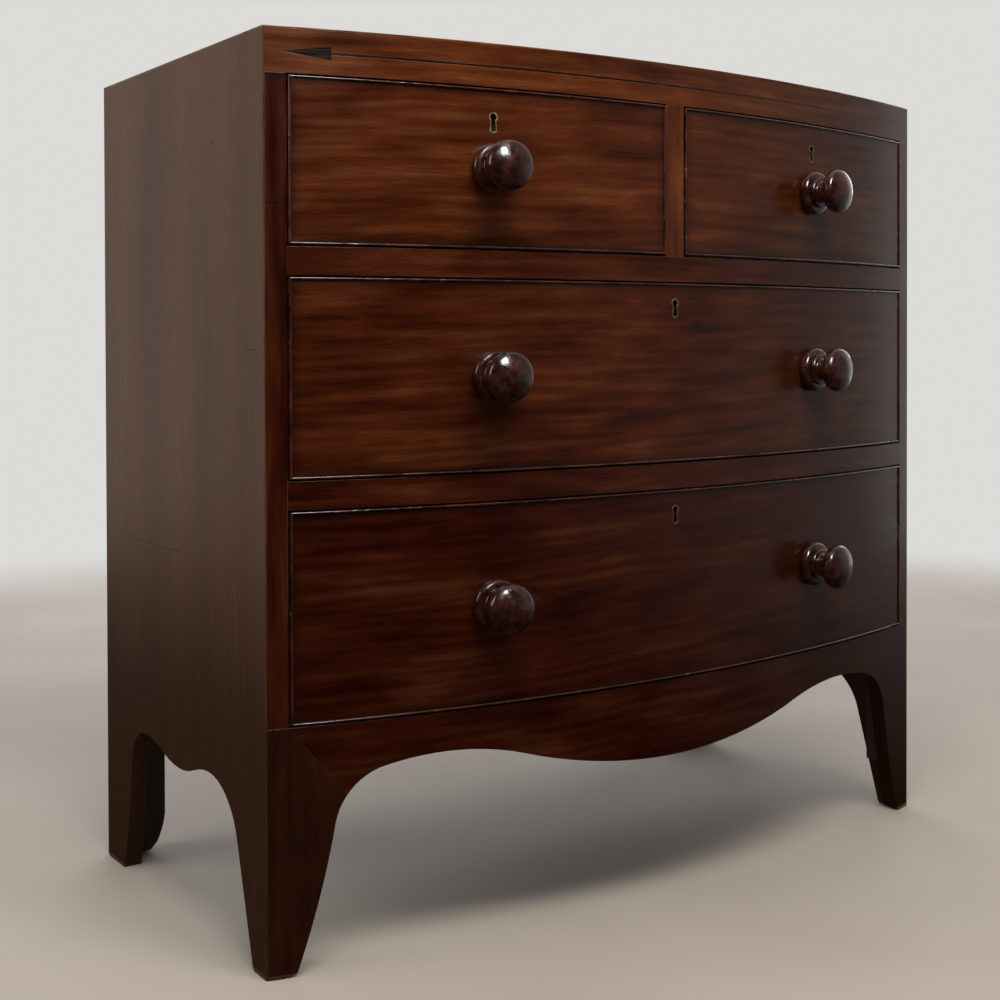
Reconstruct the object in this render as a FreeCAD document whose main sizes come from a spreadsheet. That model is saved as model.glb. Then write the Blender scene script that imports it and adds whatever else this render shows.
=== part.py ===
"""Bow front chest of drawers, in millimetres: two short drawers over two long ones.

The case stands on swept bracket feet. X runs across the chest, Y from front to back and Z up; the origin
lies on the floor, under the middle of the box that encloses the chest and its knobs. Every front piece
follows one upright cylinder, the bow, which passes through the two front corners of the case.
"""

import FreeCAD, Part
import math
import os
import re

import Sketcher

# Driving dimensions. Each is set by itself and has its own cell in the sheet.
SIZES = {
    # Case
    "chest_width": 900,
    "chest_height": 890,
    "side_depth": 416,  # front corner to back
    "bow_rise": 64,  # how far the middle of the front stands ahead of its corners
    "veneer_thickness": 1.5,  # lip of the top over the case, and of each side over the front's ends
    "side_thickness": 20,
    "top_thickness": 20,
    "frieze_height": 43,
    "stile_width": 21,
    "stile_depth": 12,  # behind the front corners
    "rail_thickness": 27,
    "rail_depth": 30,  # behind the front corners
    "muntin_width": 24,
    "muntin_depth": 60,
    "housing_depth": 6,  # of rails and bottom board in the sides
    "bottom_board_thickness": 18,
    "back_thickness": 12,
    "back_rebate": 10,
    "back_board_gap": 1,
    "runner_width": 40,
    "centre_runner_width": 70,
    "guide_height": 20,
    # Openings for the drawers, from the frieze down
    "short_opening": 161,
    "middle_opening": 193,
    "bottom_opening": 204,
    # Front board: apron and feet. Widths are measured from the outer face of the side. Heights along the
    # lower edges of front and sides are measured from a level that lies skirt_height below the apron's top
    "front_board_thickness": 20,
    "skirt_height": 235,
    "foot_width": 28,
    "foot_wear_run": 11,  # of the worn inner corner of the foot
    "foot_wear_rise": 4,
    "foot_hollow_radius": 900,
    "spring_width": 64.5,
    "spring_height": 143,
    "arch_radius": 62,
    "shoulder_width": 112,
    "shoulder_height": 190.2,
    "crown_width": 173,
    "crown_height": 196.7,
    "turn_run": 87,  # from the arch's crown to where the edge turns into the drop
    "apron_drop_height": 154.6,
    "mitre_run": 56,  # of the joint between foot and apron, which starts below the stile
    "mitre_fall": 70,
    # Lower edge of the sides, measured from the front corner or from the back
    "front_leg_width": 30,
    "front_spring_run": 64,
    "front_spring_height": 115,
    "front_arch_radius": 69,
    "front_crown_run": 130,
    "front_crown_height": 165,
    "side_drop_run": 205,
    "side_drop_height": 151,
    "rear_crown_run": 118,
    "rear_crown_height": 167,
    "rear_arch_radius": 42,
    "rear_spring_run": 76.5,
    "rear_spring_height": 132,
    "rear_hollow_radius": 650,
    "rear_leg_width": 50,
    "leg_wear": 3,  # lost from the lower rear corners of the legs
    # Rear bracket feet
    "bracket_thickness": 18,
    "bracket_width": 62,  # from the outer face of the side
    "bracket_foot_width": 52,
    "bracket_taper_height": 43,
    "bracket_sweep_radius": 86,
    "bracket_wear": 8,  # lost from the lower inner corner
    "bracket_clearance": 2,  # the worn foot stands off the floor
    # Blocks
    "block_size": 18,
    "block_length": 60,
    "apron_block_spacing": 120,
    "foot_block_height": 60,  # lower end above the floor
    "stop_width": 40,
    "stop_depth": 25,
    "stop_height": 6,
    "long_stop_offset": 300,
    # Inlay in the frieze
    "string_height": 2,
    "string_depth": 1,
    "string_level": 23,  # middle of the line below the top
    "arrow_tip_inset": 18,  # from the outer face of the side
    "arrow_length": 45,
    "arrow_height": 13,
    # Drawers
    "drawer_gap": 1,  # round a front in its opening
    "running_clearance": 0.3,  # under the sides, and at the stops
    "front_thickness": 22,
    "front_lap": 9,  # wood left in front of the dovetails
    "drawer_side_thickness": 10,
    "drawer_side_drop": 6,  # top edge below the opening's top
    "drawer_back_thickness": 9,
    "drawer_back_space": 15,  # behind the closed drawer
    "drawer_bottom_thickness": 7,
    "drawer_bottom_rise": 10,  # underside above the lower edge of the sides
    "groove_depth": 5,
    "pin_width": 6,  # narrow end of a dovetail pin
    "dovetail_slope": 6,  # run for each unit of flare
    "bead_thickness": 3,
    "bead_depth": 8,
    "bead_proud": 2,
    # Knobs
    "knob_offset": 224,
    "knob_foot_radius": 22,
    "knob_base_bulge": 3.3,
    "knob_base_thickness": 11,
    "knob_collar_radius": 16.8,
    "knob_collar_bulge": 0.9,
    "knob_collar_thickness": 4,
    "knob_cove_radius": 2.5,
    "knob_neck_radius": 11.5,
    "knob_head_radius": 25,
    "knob_head_half_thickness": 12.6,
    "knob_head_rim_radius": 8,
    "knob_head_centre": 35.9,  # ahead of the drawer's face
    "knob_shank_radius": 7,
    # Locks
    "short_keyhole_drop": 35,  # middle of the keyhole below the opening's top
    "long_keyhole_drop": 28,
    "escutcheon_width": 10,
    "escutcheon_height": 21,
    "escutcheon_rim": 1.3,
    "escutcheon_depth": 1.2,
    "escutcheon_proud": 0.3,
    "lock_width": 60,
    "lock_height": 45,
    "lock_depth": 12,
    "lock_wall": 2,
    "lock_proud": 0.6,  # behind the middle of the drawer front's hollow inner face
    "bolt_width": 16,
    "bolt_thickness": 7,
    "bolt_height": 30,
    "bolt_clearance": 0.2,
    "mortise_clearance": 3,
    "mortise_depth": 9,
    "tool_overrun": 1,  # how far a drill passes through the faces of what it bores
}

# Sizes worked out from the driving ones. Each name stands for its formula wherever a formula uses it.
FORMULAS = {
    "half_width": "chest_width / 2",
    "bow_radius": "(half_width^2 + bow_rise^2) / (2 * bow_rise)",
    # The head of a knob is a four-centred oval: a rim arc between two dome arcs
    "knob_dome_radius": (
        "(knob_head_radius^2 + knob_head_half_thickness^2 - 2 * knob_head_radius * knob_head_rim_radius)"
        " / (2 * (knob_head_half_thickness - knob_head_rim_radius))"
    ),
    "knob_dome_offset": "knob_dome_radius - knob_head_half_thickness",
    "knob_blend_angle": "atan((knob_head_radius - knob_head_rim_radius) / knob_dome_offset)",
    "knob_turn": "asin(knob_offset / bow_radius)",
    "knob_reach": (
        "knob_head_centre * cos(knob_turn) + knob_dome_radius - knob_dome_offset * cos(knob_turn)"
    ),
    "bow_fall_at_knob": "bow_radius - sqrt(bow_radius^2 - knob_offset^2)",
    # The tips of the knobs and the back lie equally far from the origin
    "corner_y": "(bow_rise - bow_fall_at_knob + knob_reach - side_depth) / 2",
    "bow_axis_y": "corner_y - bow_rise + bow_radius",
    "bow_crown_y": "corner_y - bow_rise",
    "back_y": "corner_y + side_depth",
    "back_front_y": "back_y - back_thickness",
    "stile_back_y": "corner_y + stile_depth",
    "rail_back_y": "corner_y + rail_depth",
    "muntin_back_y": "bow_crown_y + muntin_depth",
    "drawer_end_y": "back_front_y - drawer_back_space",
    "side_inner": "half_width - side_thickness",
    "opening_half": "half_width - stile_width",
    "facing_half": "half_width - veneer_thickness",
    "housing_half": "side_inner + housing_depth",
    "muntin_half": "muntin_width / 2",
    "top_underside": "chest_height - top_thickness",
    "case_top": "chest_height - veneer_thickness",
    "case_ceiling": "chest_height - frieze_height",
    "upper_rail_top": "case_ceiling - short_opening",
    "upper_rail_underside": "upper_rail_top - rail_thickness",
    "lower_rail_top": "upper_rail_underside - middle_opening",
    "lower_rail_underside": "lower_rail_top - rail_thickness",
    "apron_top": "lower_rail_underside - bottom_opening",
    "skirt_base": "apron_top - skirt_height",
    "board_underside": "apron_top - bottom_board_thickness",
    "channel_half_width": "bolt_width / 2 + bolt_clearance",
    "lock_front_depth": "front_thickness + lock_proud - lock_depth",
    "bolt_middle_depth": "lock_front_depth + lock_depth / 2",
}

NAME = re.compile(r"[a-z][a-z_]*")
# Which way the normal of each origin plane points along the axis that it faces
NORMALS = {"XY_Plane": 1, "XZ_Plane": -1, "YZ_Plane": 1}
LEFT_TURN = 1
RIGHT_TURN = -1
BACK_BOARD_COUNT = 5
APRON_BLOCK_COUNT = 5
# Dovetails at each front corner of a drawer. The back has one less
SHORT_TAIL_COUNT = 3
LONG_TAIL_COUNT = 4
# Flats in which small mouldings are planed
BEAD_FLATS = 4
DOME_FLATS = 2
RIM_FLATS = 3
COLLAR_FLATS = 2
BASE_FLATS = 3
EYE_FLATS = 8
KEYHOLE_FOOT_FLATS = 3
# Half the width of a keyhole's leg at each end, as a share of its eye's radius
KEYHOLE_NECK = 0.6
KEYHOLE_FOOT = 0.8
# Start and thickness of a shape that reaches right through every piece of the front
THROUGH_FRONT = ("bow_crown_y - front_thickness", "bow_rise + 3 * front_thickness")

doc = FreeCAD.newDocument("BowFrontChest")
sheet = doc.addObject("Spreadsheet::Sheet", "Sizes")
for row, (alias, size) in enumerate(SIZES.items(), 1):
    sheet.set(f"A{row}", str(size))
    sheet.setAlias(f"A{row}", alias)
doc.recompute()

nodes = []


def formula(text):
    """A formula over the sheet's cells, with every worked-out name replaced by what it stands for."""

    def spell(match):
        name = match.group()
        if name in FORMULAS:
            return f"({formula(FORMULAS[name])})"
        return f"Sizes.{name}" if name in SIZES else name

    return NAME.sub(spell, text)


def number(text):
    """What a formula comes to, in millimetres or degrees."""
    result = sheet.evalExpression(formula(text))
    return float(getattr(result, "Value", result))


def bind(thing, properties):
    """Bind properties of an object to formulas."""
    for name, text in properties.items():
        thing.setExpression(name, formula(text))


def keep(thing):
    """Hand a sub-part over as a node of its own, named by its label."""
    thing.Label = thing.Name
    nodes.append(thing)
    return thing


def bow_y(x, inset="0"):
    """Formula for the y, at x, of the bowed surface that lies inset behind the front's face."""
    return f"(bow_axis_y - sqrt((bow_radius - ({inset}))^2 - ({x})^2))"


def round_arc(start, stop, radius, turn):
    """Arc of less than half a circle from start to stop, turning left or right as it goes."""
    chord = stop - start
    left = FreeCAD.Vector(-chord.y, chord.x, 0).normalize()
    rise = math.sqrt(radius**2 - (chord.Length / 2) ** 2)
    centre = (start + stop) / 2 + left * rise * turn
    first, last = (start, stop) if turn == LEFT_TURN else (stop, start)
    angle_in = math.atan2(first.y - centre.y, first.x - centre.x)
    angle_out = math.atan2(last.y - centre.y, last.x - centre.x)
    if angle_out < angle_in:
        angle_out += 2 * math.pi
    return Part.ArcOfCircle(Part.Circle(centre, FreeCAD.Vector(0, 0, 1), radius), angle_in, angle_out)


def outline(body, plane, corners, arcs=None, level="0"):
    """Closed sketch through corners on an origin plane of a body, raised to level along its axis.

    Each corner is a pair of formulas. arcs gives (radius formula, turn) for the edges that aren't
    straight, by the number of the corner at which they start.
    """
    arcs = arcs or {}
    sketch = body.newObject("Sketcher::SketchObject", body.Name + "_outline")
    support = [feature for feature in body.Origin.OriginFeatures if feature.Role == plane]
    sketch.AttachmentSupport = [(support[0], "")]
    sketch.MapMode = "FlatFace"
    bind(sketch, {"AttachmentOffset.Base.z": f"{NORMALS[plane]} * ({level})"})
    spots = [FreeCAD.Vector(number(x), number(y), 0) for x, y in corners]
    count = len(corners)
    ends = []
    for edge, start in enumerate(spots):
        stop = spots[(edge + 1) % count]
        if edge in arcs:
            radius, turn = arcs[edge]
            sketch.addGeometry(round_arc(start, stop, number(radius), turn), False)
            ends.append((1, 2) if turn == LEFT_TURN else (2, 1))
        else:
            sketch.addGeometry(Part.LineSegment(start, stop), False)
            ends.append((1, 2))
    for edge in range(count):
        following = (edge + 1) % count
        sketch.addConstraint(
            Sketcher.Constraint("Coincident", edge, ends[edge][1], following, ends[following][0])
        )
    for edge, (corner, spot) in enumerate(zip(corners, spots)):
        for kind, place, text in (("DistanceX", spot.x, corner[0]), ("DistanceY", spot.y, corner[1])):
            rule = sketch.addConstraint(Sketcher.Constraint(kind, -1, 1, edge, ends[edge][0], place))
            bind(sketch, {f"Constraints[{rule}]": text})
    for edge, (radius, _) in arcs.items():
        rule = sketch.addConstraint(Sketcher.Constraint("Radius", edge, number(radius)))
        bind(sketch, {f"Constraints[{rule}]": radius})
    return sketch


def pad(name, plane, corners, level, thickness, arcs=None):
    """Body padded from an outline, from level for a thickness along the axis that the plane faces."""
    body = doc.addObject("PartDesign::Body", name)
    sketch = outline(body, plane, corners, arcs, level)
    feature = body.newObject("PartDesign::Pad", name + "_pad")
    feature.Profile = sketch
    feature.Reversed = NORMALS[plane] < 0
    bind(feature, {"Length": thickness})
    return body


def turned(name, corners):
    """Body turned about its own Y axis, from an outline of (radius, y) corners."""
    body = doc.addObject("PartDesign::Body", name)
    sketch = outline(body, "XY_Plane", corners)
    feature = body.newObject("PartDesign::Revolution", name + "_turning")
    feature.Profile = sketch
    feature.ReferenceAxis = (sketch, ["V_Axis"])
    feature.Angle = 360
    return body


def box(name, left, right, front, back, bottom, top):
    """Rectangular board between six formulas."""
    board = doc.addObject("Part::Box", name)
    bind(
        board,
        {
            "Length": f"({right}) - ({left})",
            "Width": f"({back}) - ({front})",
            "Height": f"({top}) - ({bottom})",
            "Placement.Base.x": left,
            "Placement.Base.y": front,
            "Placement.Base.z": bottom,
        },
    )
    return board


def straight_backed_board(name, left, right, back, bottom, top, inset="0"):
    """Board whose front edge follows the bow, inset behind the face, and whose back is straight."""
    corners = [(left, bow_y(left, inset)), (right, bow_y(right, inset)), (right, back), (left, back)]
    arcs = {0: (f"bow_radius - ({inset})", LEFT_TURN)}
    return pad(name, "XY_Plane", corners, bottom, f"({top}) - ({bottom})", arcs)


def curved_board(name, left, right, thickness, bottom, top):
    """Board of even thickness that follows the bow."""
    corners = [
        (left, bow_y(left)),
        (right, bow_y(right)),
        (right, bow_y(right, thickness)),
        (left, bow_y(left, thickness)),
    ]
    arcs = {0: ("bow_radius", LEFT_TURN), 2: (f"bow_radius - ({thickness})", RIGHT_TURN)}
    return pad(name, "XY_Plane", corners, bottom, f"({top}) - ({bottom})", arcs)


def cut(name, base, *tools):
    """A piece less its tools' shapes."""
    tool = tools[0]
    if len(tools) > 1:
        tool = doc.addObject("Part::MultiFuse", name + "_tools")
        tool.Shapes = list(tools)
    result = doc.addObject("Part::Cut", name)
    result.Base = base
    result.Tool = tool
    return result


def common(name, first, second):
    """What two shapes share."""
    result = doc.addObject("Part::Common", name)
    result.Base = first
    result.Tool = second
    return result


def group(name, pieces):
    """Separate solids kept as one node."""
    result = doc.addObject("Part::Compound", name)
    result.Links = list(pieces)
    return result


def mirror(name, source):
    """The same piece on the other side of the chest."""
    result = doc.addObject("Part::Mirroring", name)
    result.Source = source
    result.Base = FreeCAD.Vector(0, 0, 0)
    result.Normal = FreeCAD.Vector(1, 0, 0)
    return result


def set_on_bow(body, x, z):
    """Stand a body's origin on the bowed face at x, with its Y axis pointing straight into the wood."""
    bind(
        body,
        {
            "Placement.Base.x": x,
            "Placement.Base.y": bow_y(x),
            "Placement.Base.z": z,
            "Placement.Rotation.Angle": f"asin(({x}) / bow_radius)",
        },
    )
    return body


# The case's front: stiles, frieze, rails and centre upright


def frieze(mortises):
    """The board above the drawers, with the inlaid line and its arrowheads let into it."""
    blank = straight_backed_board(
        "frieze_blank", "-facing_half", "facing_half", "stile_back_y", "case_ceiling", "case_top"
    )
    middle = "(chest_height - string_level)"
    tip = "(half_width - arrow_tip_inset)"
    base = f"({tip} - arrow_length)"
    upper = [
        (f"-{tip}", middle),
        (f"-{base}", f"{middle} - arrow_height / 2"),
        (f"-{base}", f"{middle} - string_height / 2"),
        (base, f"{middle} - string_height / 2"),
        (base, f"{middle} - arrow_height / 2"),
        (tip, middle),
        (base, f"{middle} + arrow_height / 2"),
        (base, f"{middle} + string_height / 2"),
        (f"-{base}", f"{middle} + string_height / 2"),
        (f"-{base}", f"{middle} + arrow_height / 2"),
    ]
    pattern = pad("stringing_pattern", "XZ_Plane", upper, *THROUGH_FRONT)
    skin = curved_board(
        "stringing_skin", "-facing_half", "facing_half", "string_depth", "case_ceiling", "case_top"
    )
    stringing = keep(common("frieze_stringing", pattern, skin))
    keep(cut("frieze_rail", blank, stringing, *mortises))
    return doc.getObject("frieze_rail")


def rail(name, bottom, top, mortise):
    """Drawer rail: bowed between the stiles, housed in the sides behind them."""
    corners = [
        ("-opening_half", bow_y("opening_half")),
        ("opening_half", bow_y("opening_half")),
        ("opening_half", "stile_back_y"),
        ("housing_half", "stile_back_y"),
        ("housing_half", "rail_back_y"),
        ("-housing_half", "rail_back_y"),
        ("-housing_half", "stile_back_y"),
        ("-opening_half", "stile_back_y"),
    ]
    arcs = {0: ("bow_radius", LEFT_TURN)}
    blank = pad(name + "_blank", "XY_Plane", corners, bottom, f"({top}) - ({bottom})", arcs)
    return keep(cut(name, blank, mortise))


def skirt_board():
    """The whole shaped board below the bottom drawer, before it is parted into apron and feet."""
    crown = "(half_width - crown_width)"
    turn = f"({crown} - turn_run)"
    fall = f"((crown_height - apron_drop_height) * turn_run / {crown})"
    rise = f"(crown_height - apron_drop_height - {fall})"
    half = [
        ("facing_half", "0"),
        ("half_width - foot_width + foot_wear_run", "0"),
        ("half_width - foot_width", "foot_wear_rise"),
        ("half_width - spring_width", "skirt_base + spring_height"),
        ("half_width - shoulder_width", "skirt_base + shoulder_height"),
        (crown, "skirt_base + crown_height"),
        (turn, f"skirt_base + crown_height - {fall}"),
    ]
    left = [(f"-({x})", z) for x, z in half]
    right = half[::-1]
    corners = left + [("0", "skirt_base + apron_drop_height")] + right
    corners += [("facing_half", "apron_top"), ("-facing_half", "apron_top")]
    shoulder_radius = (
        "((crown_width - shoulder_width)^2 + (crown_height - shoulder_height)^2)"
        " / (2 * (crown_height - shoulder_height))"
    )
    crown_radius = f"(turn_run^2 + {fall}^2) / (2 * {fall})"
    drop_radius = f"({turn}^2 + {rise}^2) / (2 * {rise})"
    curves = [
        ("foot_hollow_radius", LEFT_TURN),
        ("arch_radius", RIGHT_TURN),
        (shoulder_radius, RIGHT_TURN),
        (crown_radius, RIGHT_TURN),
        (drop_radius, LEFT_TURN),
    ]
    arcs = dict(enumerate(curves + curves[::-1], 2))
    shape = pad("skirt_outline", "XZ_Plane", corners, *THROUGH_FRONT, arcs)
    board = curved_board(
        "skirt_blank", "-facing_half", "facing_half", "front_board_thickness", "0", "apron_top"
    )
    return common("skirt", board, shape)


def foot_wedge():
    """The region of the left front foot, bounded by its slanting joint with the apron."""
    corners = [
        ("-half_width", "0"),
        ("-opening_half + mitre_run * apron_top / mitre_fall", "0"),
        ("-opening_half", "apron_top"),
        ("-half_width", "apron_top"),
    ]
    return pad("foot_wedge", "XZ_Plane", corners, *THROUGH_FRONT)


# The rest of the case


def bottom_board():
    """Board under the bottom drawer, fitted behind the apron and housed in the sides."""
    inner = bow_y("side_inner", "front_board_thickness")
    corners = [
        ("-side_inner", inner),
        ("side_inner", inner),
        ("side_inner", "rail_back_y"),
        ("housing_half", "rail_back_y"),
        ("housing_half", "back_front_y"),
        ("-housing_half", "back_front_y"),
        ("-housing_half", "rail_back_y"),
        ("-side_inner", "rail_back_y"),
    ]
    arcs = {0: ("bow_radius - front_board_thickness", LEFT_TURN)}
    return pad("bottom_board", "XY_Plane", corners, "board_underside", "bottom_board_thickness", arcs)


def back_boards():
    """Upright boards let into rebates along the backs of the sides."""
    whole = "(2 * (side_inner + back_rebate))"
    pitch = f"(({whole} + back_board_gap) / {BACK_BOARD_COUNT})"
    boards = []
    for place in range(BACK_BOARD_COUNT):
        left = f"-{whole} / 2 + {place} * {pitch}"
        right = f"{left} + {pitch} - back_board_gap"
        reach = ("back_front_y", "back_y", "board_underside", "top_underside")
        boards.append(box(f"back_board_{place + 1}", left, right, *reach))
    return group("back_boards", boards)


def side_panel(tools):
    """Left side, with the apron's sweep cut in its lower edge."""
    drop_from_back = "(side_depth - side_drop_run)"
    front_dx = "(side_drop_run - front_crown_run)"
    front_dz = "(front_crown_height - side_drop_height)"
    rear_dx = f"({drop_from_back} - rear_crown_run)"
    rear_dz = "(rear_crown_height - side_drop_height)"
    corners = [
        ("corner_y", "0"),
        ("corner_y + front_leg_width - leg_wear", "0"),
        ("corner_y + front_leg_width", "leg_wear"),
        ("corner_y + front_spring_run", "skirt_base + front_spring_height"),
        ("corner_y + front_crown_run", "skirt_base + front_crown_height"),
        (
            f"corner_y + front_crown_run + {front_dx} / 2",
            f"skirt_base + front_crown_height - {front_dz} / 2",
        ),
        ("corner_y + side_drop_run", "skirt_base + side_drop_height"),
        (f"corner_y + side_drop_run + {rear_dx} / 2", f"skirt_base + side_drop_height + {rear_dz} / 2"),
        ("back_y - rear_crown_run", "skirt_base + rear_crown_height"),
        ("back_y - rear_spring_run", "skirt_base + rear_spring_height"),
        ("back_y - rear_leg_width", "0"),
        ("back_y - leg_wear", "0"),
        ("back_y", "leg_wear"),
        ("back_y", "case_top"),
        ("corner_y", "case_top"),
    ]
    front_radius = f"({front_dx}^2 + {front_dz}^2) / (4 * {front_dz})"
    rear_radius = f"({rear_dx}^2 + {rear_dz}^2) / (4 * {rear_dz})"
    arcs = {
        3: ("front_arch_radius", RIGHT_TURN),
        4: (front_radius, RIGHT_TURN),
        5: (front_radius, LEFT_TURN),
        6: (rear_radius, LEFT_TURN),
        7: (rear_radius, RIGHT_TURN),
        8: ("rear_arch_radius", RIGHT_TURN),
        9: ("rear_hollow_radius", LEFT_TURN),
    }
    blank = pad("left_side_blank", "YZ_Plane", corners, "-half_width", "side_thickness", arcs)
    return keep(cut("left_side", blank, *tools))


def top_board():
    """Top: a slab between the sides whose thin edge covers them and the frieze."""
    lip = straight_backed_board(
        "top_lip", "-half_width", "half_width", "back_y", "case_top", "chest_height"
    )
    slab = box("top_slab", "-side_inner", "side_inner", "stile_back_y", "back_y", "top_underside", "case_top")
    board = doc.addObject("Part::Fuse", "top_board")
    board.Base = lip
    board.Tool = slab
    return keep(board)


def rear_brackets():
    """Cross brackets behind the rear legs."""
    corners = [
        ("-side_inner", "bracket_clearance"),
        ("-half_width + bracket_foot_width - bracket_wear", "bracket_clearance"),
        ("-half_width + bracket_foot_width", "bracket_clearance + bracket_wear"),
        ("-half_width + bracket_width", "bracket_taper_height"),
        ("-half_width + bracket_width", "board_underside"),
        ("-side_inner", "board_underside"),
    ]
    arcs = {2: ("bracket_sweep_radius", LEFT_TURN)}
    left = pad(
        "left_bracket", "XZ_Plane", corners, "back_y - bracket_thickness", "bracket_thickness", arcs
    )
    return keep(group("rear_foot_brackets", [left, mirror("right_bracket", left)]))


def runners():
    """Runners under the short and middle drawers, with the guide between the short ones."""
    pieces = []
    for level, top in (("upper", "upper_rail_top"), ("lower", "lower_rail_top")):
        left = box(
            f"{level}_left_runner",
            "-side_inner",
            "-side_inner + runner_width",
            "rail_back_y",
            "back_front_y",
            f"{top} - rail_thickness",
            top,
        )
        pieces += [left, mirror(f"{level}_right_runner", left)]
    half = "centre_runner_width / 2"
    pieces.append(
        box(
            "centre_runner",
            f"-{half}",
            half,
            "rail_back_y",
            "back_front_y",
            "upper_rail_underside",
            "upper_rail_top",
        )
    )
    pieces.append(
        box(
            "centre_guide",
            "-muntin_half",
            "muntin_half",
            "muntin_back_y",
            "back_front_y",
            "upper_rail_top",
            "upper_rail_top + guide_height",
        )
    )
    return keep(group("drawer_runners", pieces))


def kickers():
    """Strips under the top that keep the short drawers from tipping."""
    reach = ("stile_back_y", "back_front_y", "case_ceiling", "top_underside")
    left = box("left_kicker", "-side_inner", "-side_inner + runner_width", *reach)
    half = "centre_runner_width / 2"
    middle = box("centre_kicker", f"-{half}", half, *reach)
    return keep(group("drawer_kickers", [left, mirror("right_kicker", left), middle]))


def stops():
    """Small blocks that the drawer fronts come up against."""
    places = (
        ("upper", "knob_offset", "upper_rail_top"),
        ("lower", "long_stop_offset", "lower_rail_top"),
        ("bottom", "long_stop_offset", "apron_top"),
    )
    inset = "front_thickness + running_clearance"
    pieces = []
    for level, offset, floor in places:
        left = straight_backed_board(
            f"{level}_left_stop",
            f"-{offset} - stop_width / 2",
            f"-{offset} + stop_width / 2",
            f"{bow_y(offset, inset)} + stop_depth",
            floor,
            f"{floor} + stop_height",
            inset,
        )
        pieces += [left, mirror(f"{level}_right_stop", left)]
    return keep(group("drawer_stops", pieces))


def glue_blocks():
    """Blocks in the angles of the feet, and along the joint of apron and bottom board."""
    thickness = "front_board_thickness"
    pieces = []
    for place in range(APRON_BLOCK_COUNT):
        middle = f"({place - APRON_BLOCK_COUNT // 2} * apron_block_spacing)"
        pieces.append(
            straight_backed_board(
                f"apron_block_{place + 1}",
                f"{middle} - block_length / 2",
                f"{middle} + block_length / 2",
                f"{bow_y(middle, thickness)} + block_size",
                "board_underside - block_size",
                "board_underside",
                thickness,
            )
        )
    front = straight_backed_board(
        "front_foot_block",
        "-side_inner",
        "-side_inner + block_size",
        f"{bow_y('side_inner', thickness)} + block_size",
        "foot_block_height",
        "board_underside",
        thickness,
    )
    bracket_front = "back_y - bracket_thickness"
    rear = box(
        "rear_foot_block",
        "-side_inner",
        "-side_inner + block_size",
        f"{bracket_front} - block_size",
        bracket_front,
        "foot_block_height",
        "board_underside",
    )
    for left in (front, rear):
        pieces += [left, mirror(f"right_{left.Name}", left)]
    return keep(group("glue_blocks", pieces))


# Locks: case, bolt and the mortise that the bolt rises into


def lock_block(name, half_width, middle_depth, half_thickness, bottom, height, x):
    """Upright block in a lock, centred across it, at a depth behind the drawer's face."""
    corners = [
        (f"-({half_width})", "0"),
        (half_width, "0"),
        (half_width, height),
        (f"-({half_width})", height),
    ]
    body = pad(name, "XZ_Plane", corners, f"{middle_depth} - ({half_thickness})", f"2 * ({half_thickness})")
    return set_on_bow(body, x, bottom)


def mortise(name, x, ceiling):
    """Recess in the underside of the rail above a lock."""
    return lock_block(
        name,
        "bolt_width / 2 + mortise_clearance",
        "bolt_middle_depth",
        "bolt_thickness / 2 + mortise_clearance",
        ceiling,
        "mortise_depth",
        x,
    )


def keyhole_outline(radius, height):
    """Corners of a keyhole, planed in flats: a round eye over a leg that widens to a round foot."""
    middle = f"(({height}) / 2 - ({radius}))"
    ends = (
        ("-", -1, f"asin({KEYHOLE_FOOT})", KEYHOLE_FOOT_FLATS),
        ("", 1, f"(180 deg - asin({KEYHOLE_NECK}))", EYE_FLATS),
    )
    corners = []
    for sign, side, reach, flats in ends:
        for flat in range(flats + 1):
            angle = f"{side * (1 - 2 * flat / flats)} * {reach}"
            corners.append((f"({radius}) * sin({angle})", f"{sign}({middle} + ({radius}) * cos({angle}))"))
    return corners


def escutcheon(name, x, z):
    """Brass thread round a keyhole, and the keyhole itself as a tool for what it passes through."""
    plate = pad(
        name + "_escutcheon_blank",
        "XZ_Plane",
        keyhole_outline("escutcheon_width / 2", "escutcheon_height"),
        "-escutcheon_proud",
        "escutcheon_proud + escutcheon_depth",
    )
    hole = pad(
        name + "_keyhole",
        "XZ_Plane",
        keyhole_outline("escutcheon_width / 2 - escutcheon_rim", "escutcheon_height - 2 * escutcheon_rim"),
        "-2 * escutcheon_proud",
        "2 * escutcheon_proud + lock_front_depth + lock_wall",
    )
    for body in (plate, hole):
        set_on_bow(body, x, z)
    return plate, hole, cut(name + "_escutcheon", plate, hole)


# Drawers


def planed_arc(centre, radius, first, last, flats):
    """Corners of an arc planed in flats, for a turned piece that points along -Y.

    centre is a pair of formulas, the distances from the axis and ahead of the origin. The arc runs
    between two angles, measured from straight ahead.
    """
    out, ahead = centre
    corners = []
    for flat in range(flats + 1):
        angle = f"(({first}) + {flat / flats} * (({last}) - ({first})))"
        corners.append((f"{out} + {radius} * sin{angle}", f"-({ahead} + {radius} * cos{angle})"))
    return corners


def swelling(radius, start, thickness, bulge, flats):
    """Corners of a moulding that swells by bulge between two equal radii, from its front to its back."""
    arc_radius = f"((({thickness} / 2)^2 + {bulge}^2) / (2 * {bulge}))"
    reach = f"asin({thickness} / 2 / {arc_radius})"
    centre = (f"({radius} + {bulge} - {arc_radius})", f"({start} + {thickness} / 2)")
    return planed_arc(centre, arc_radius, f"90 deg - {reach}", f"90 deg + {reach}", flats)


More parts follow.
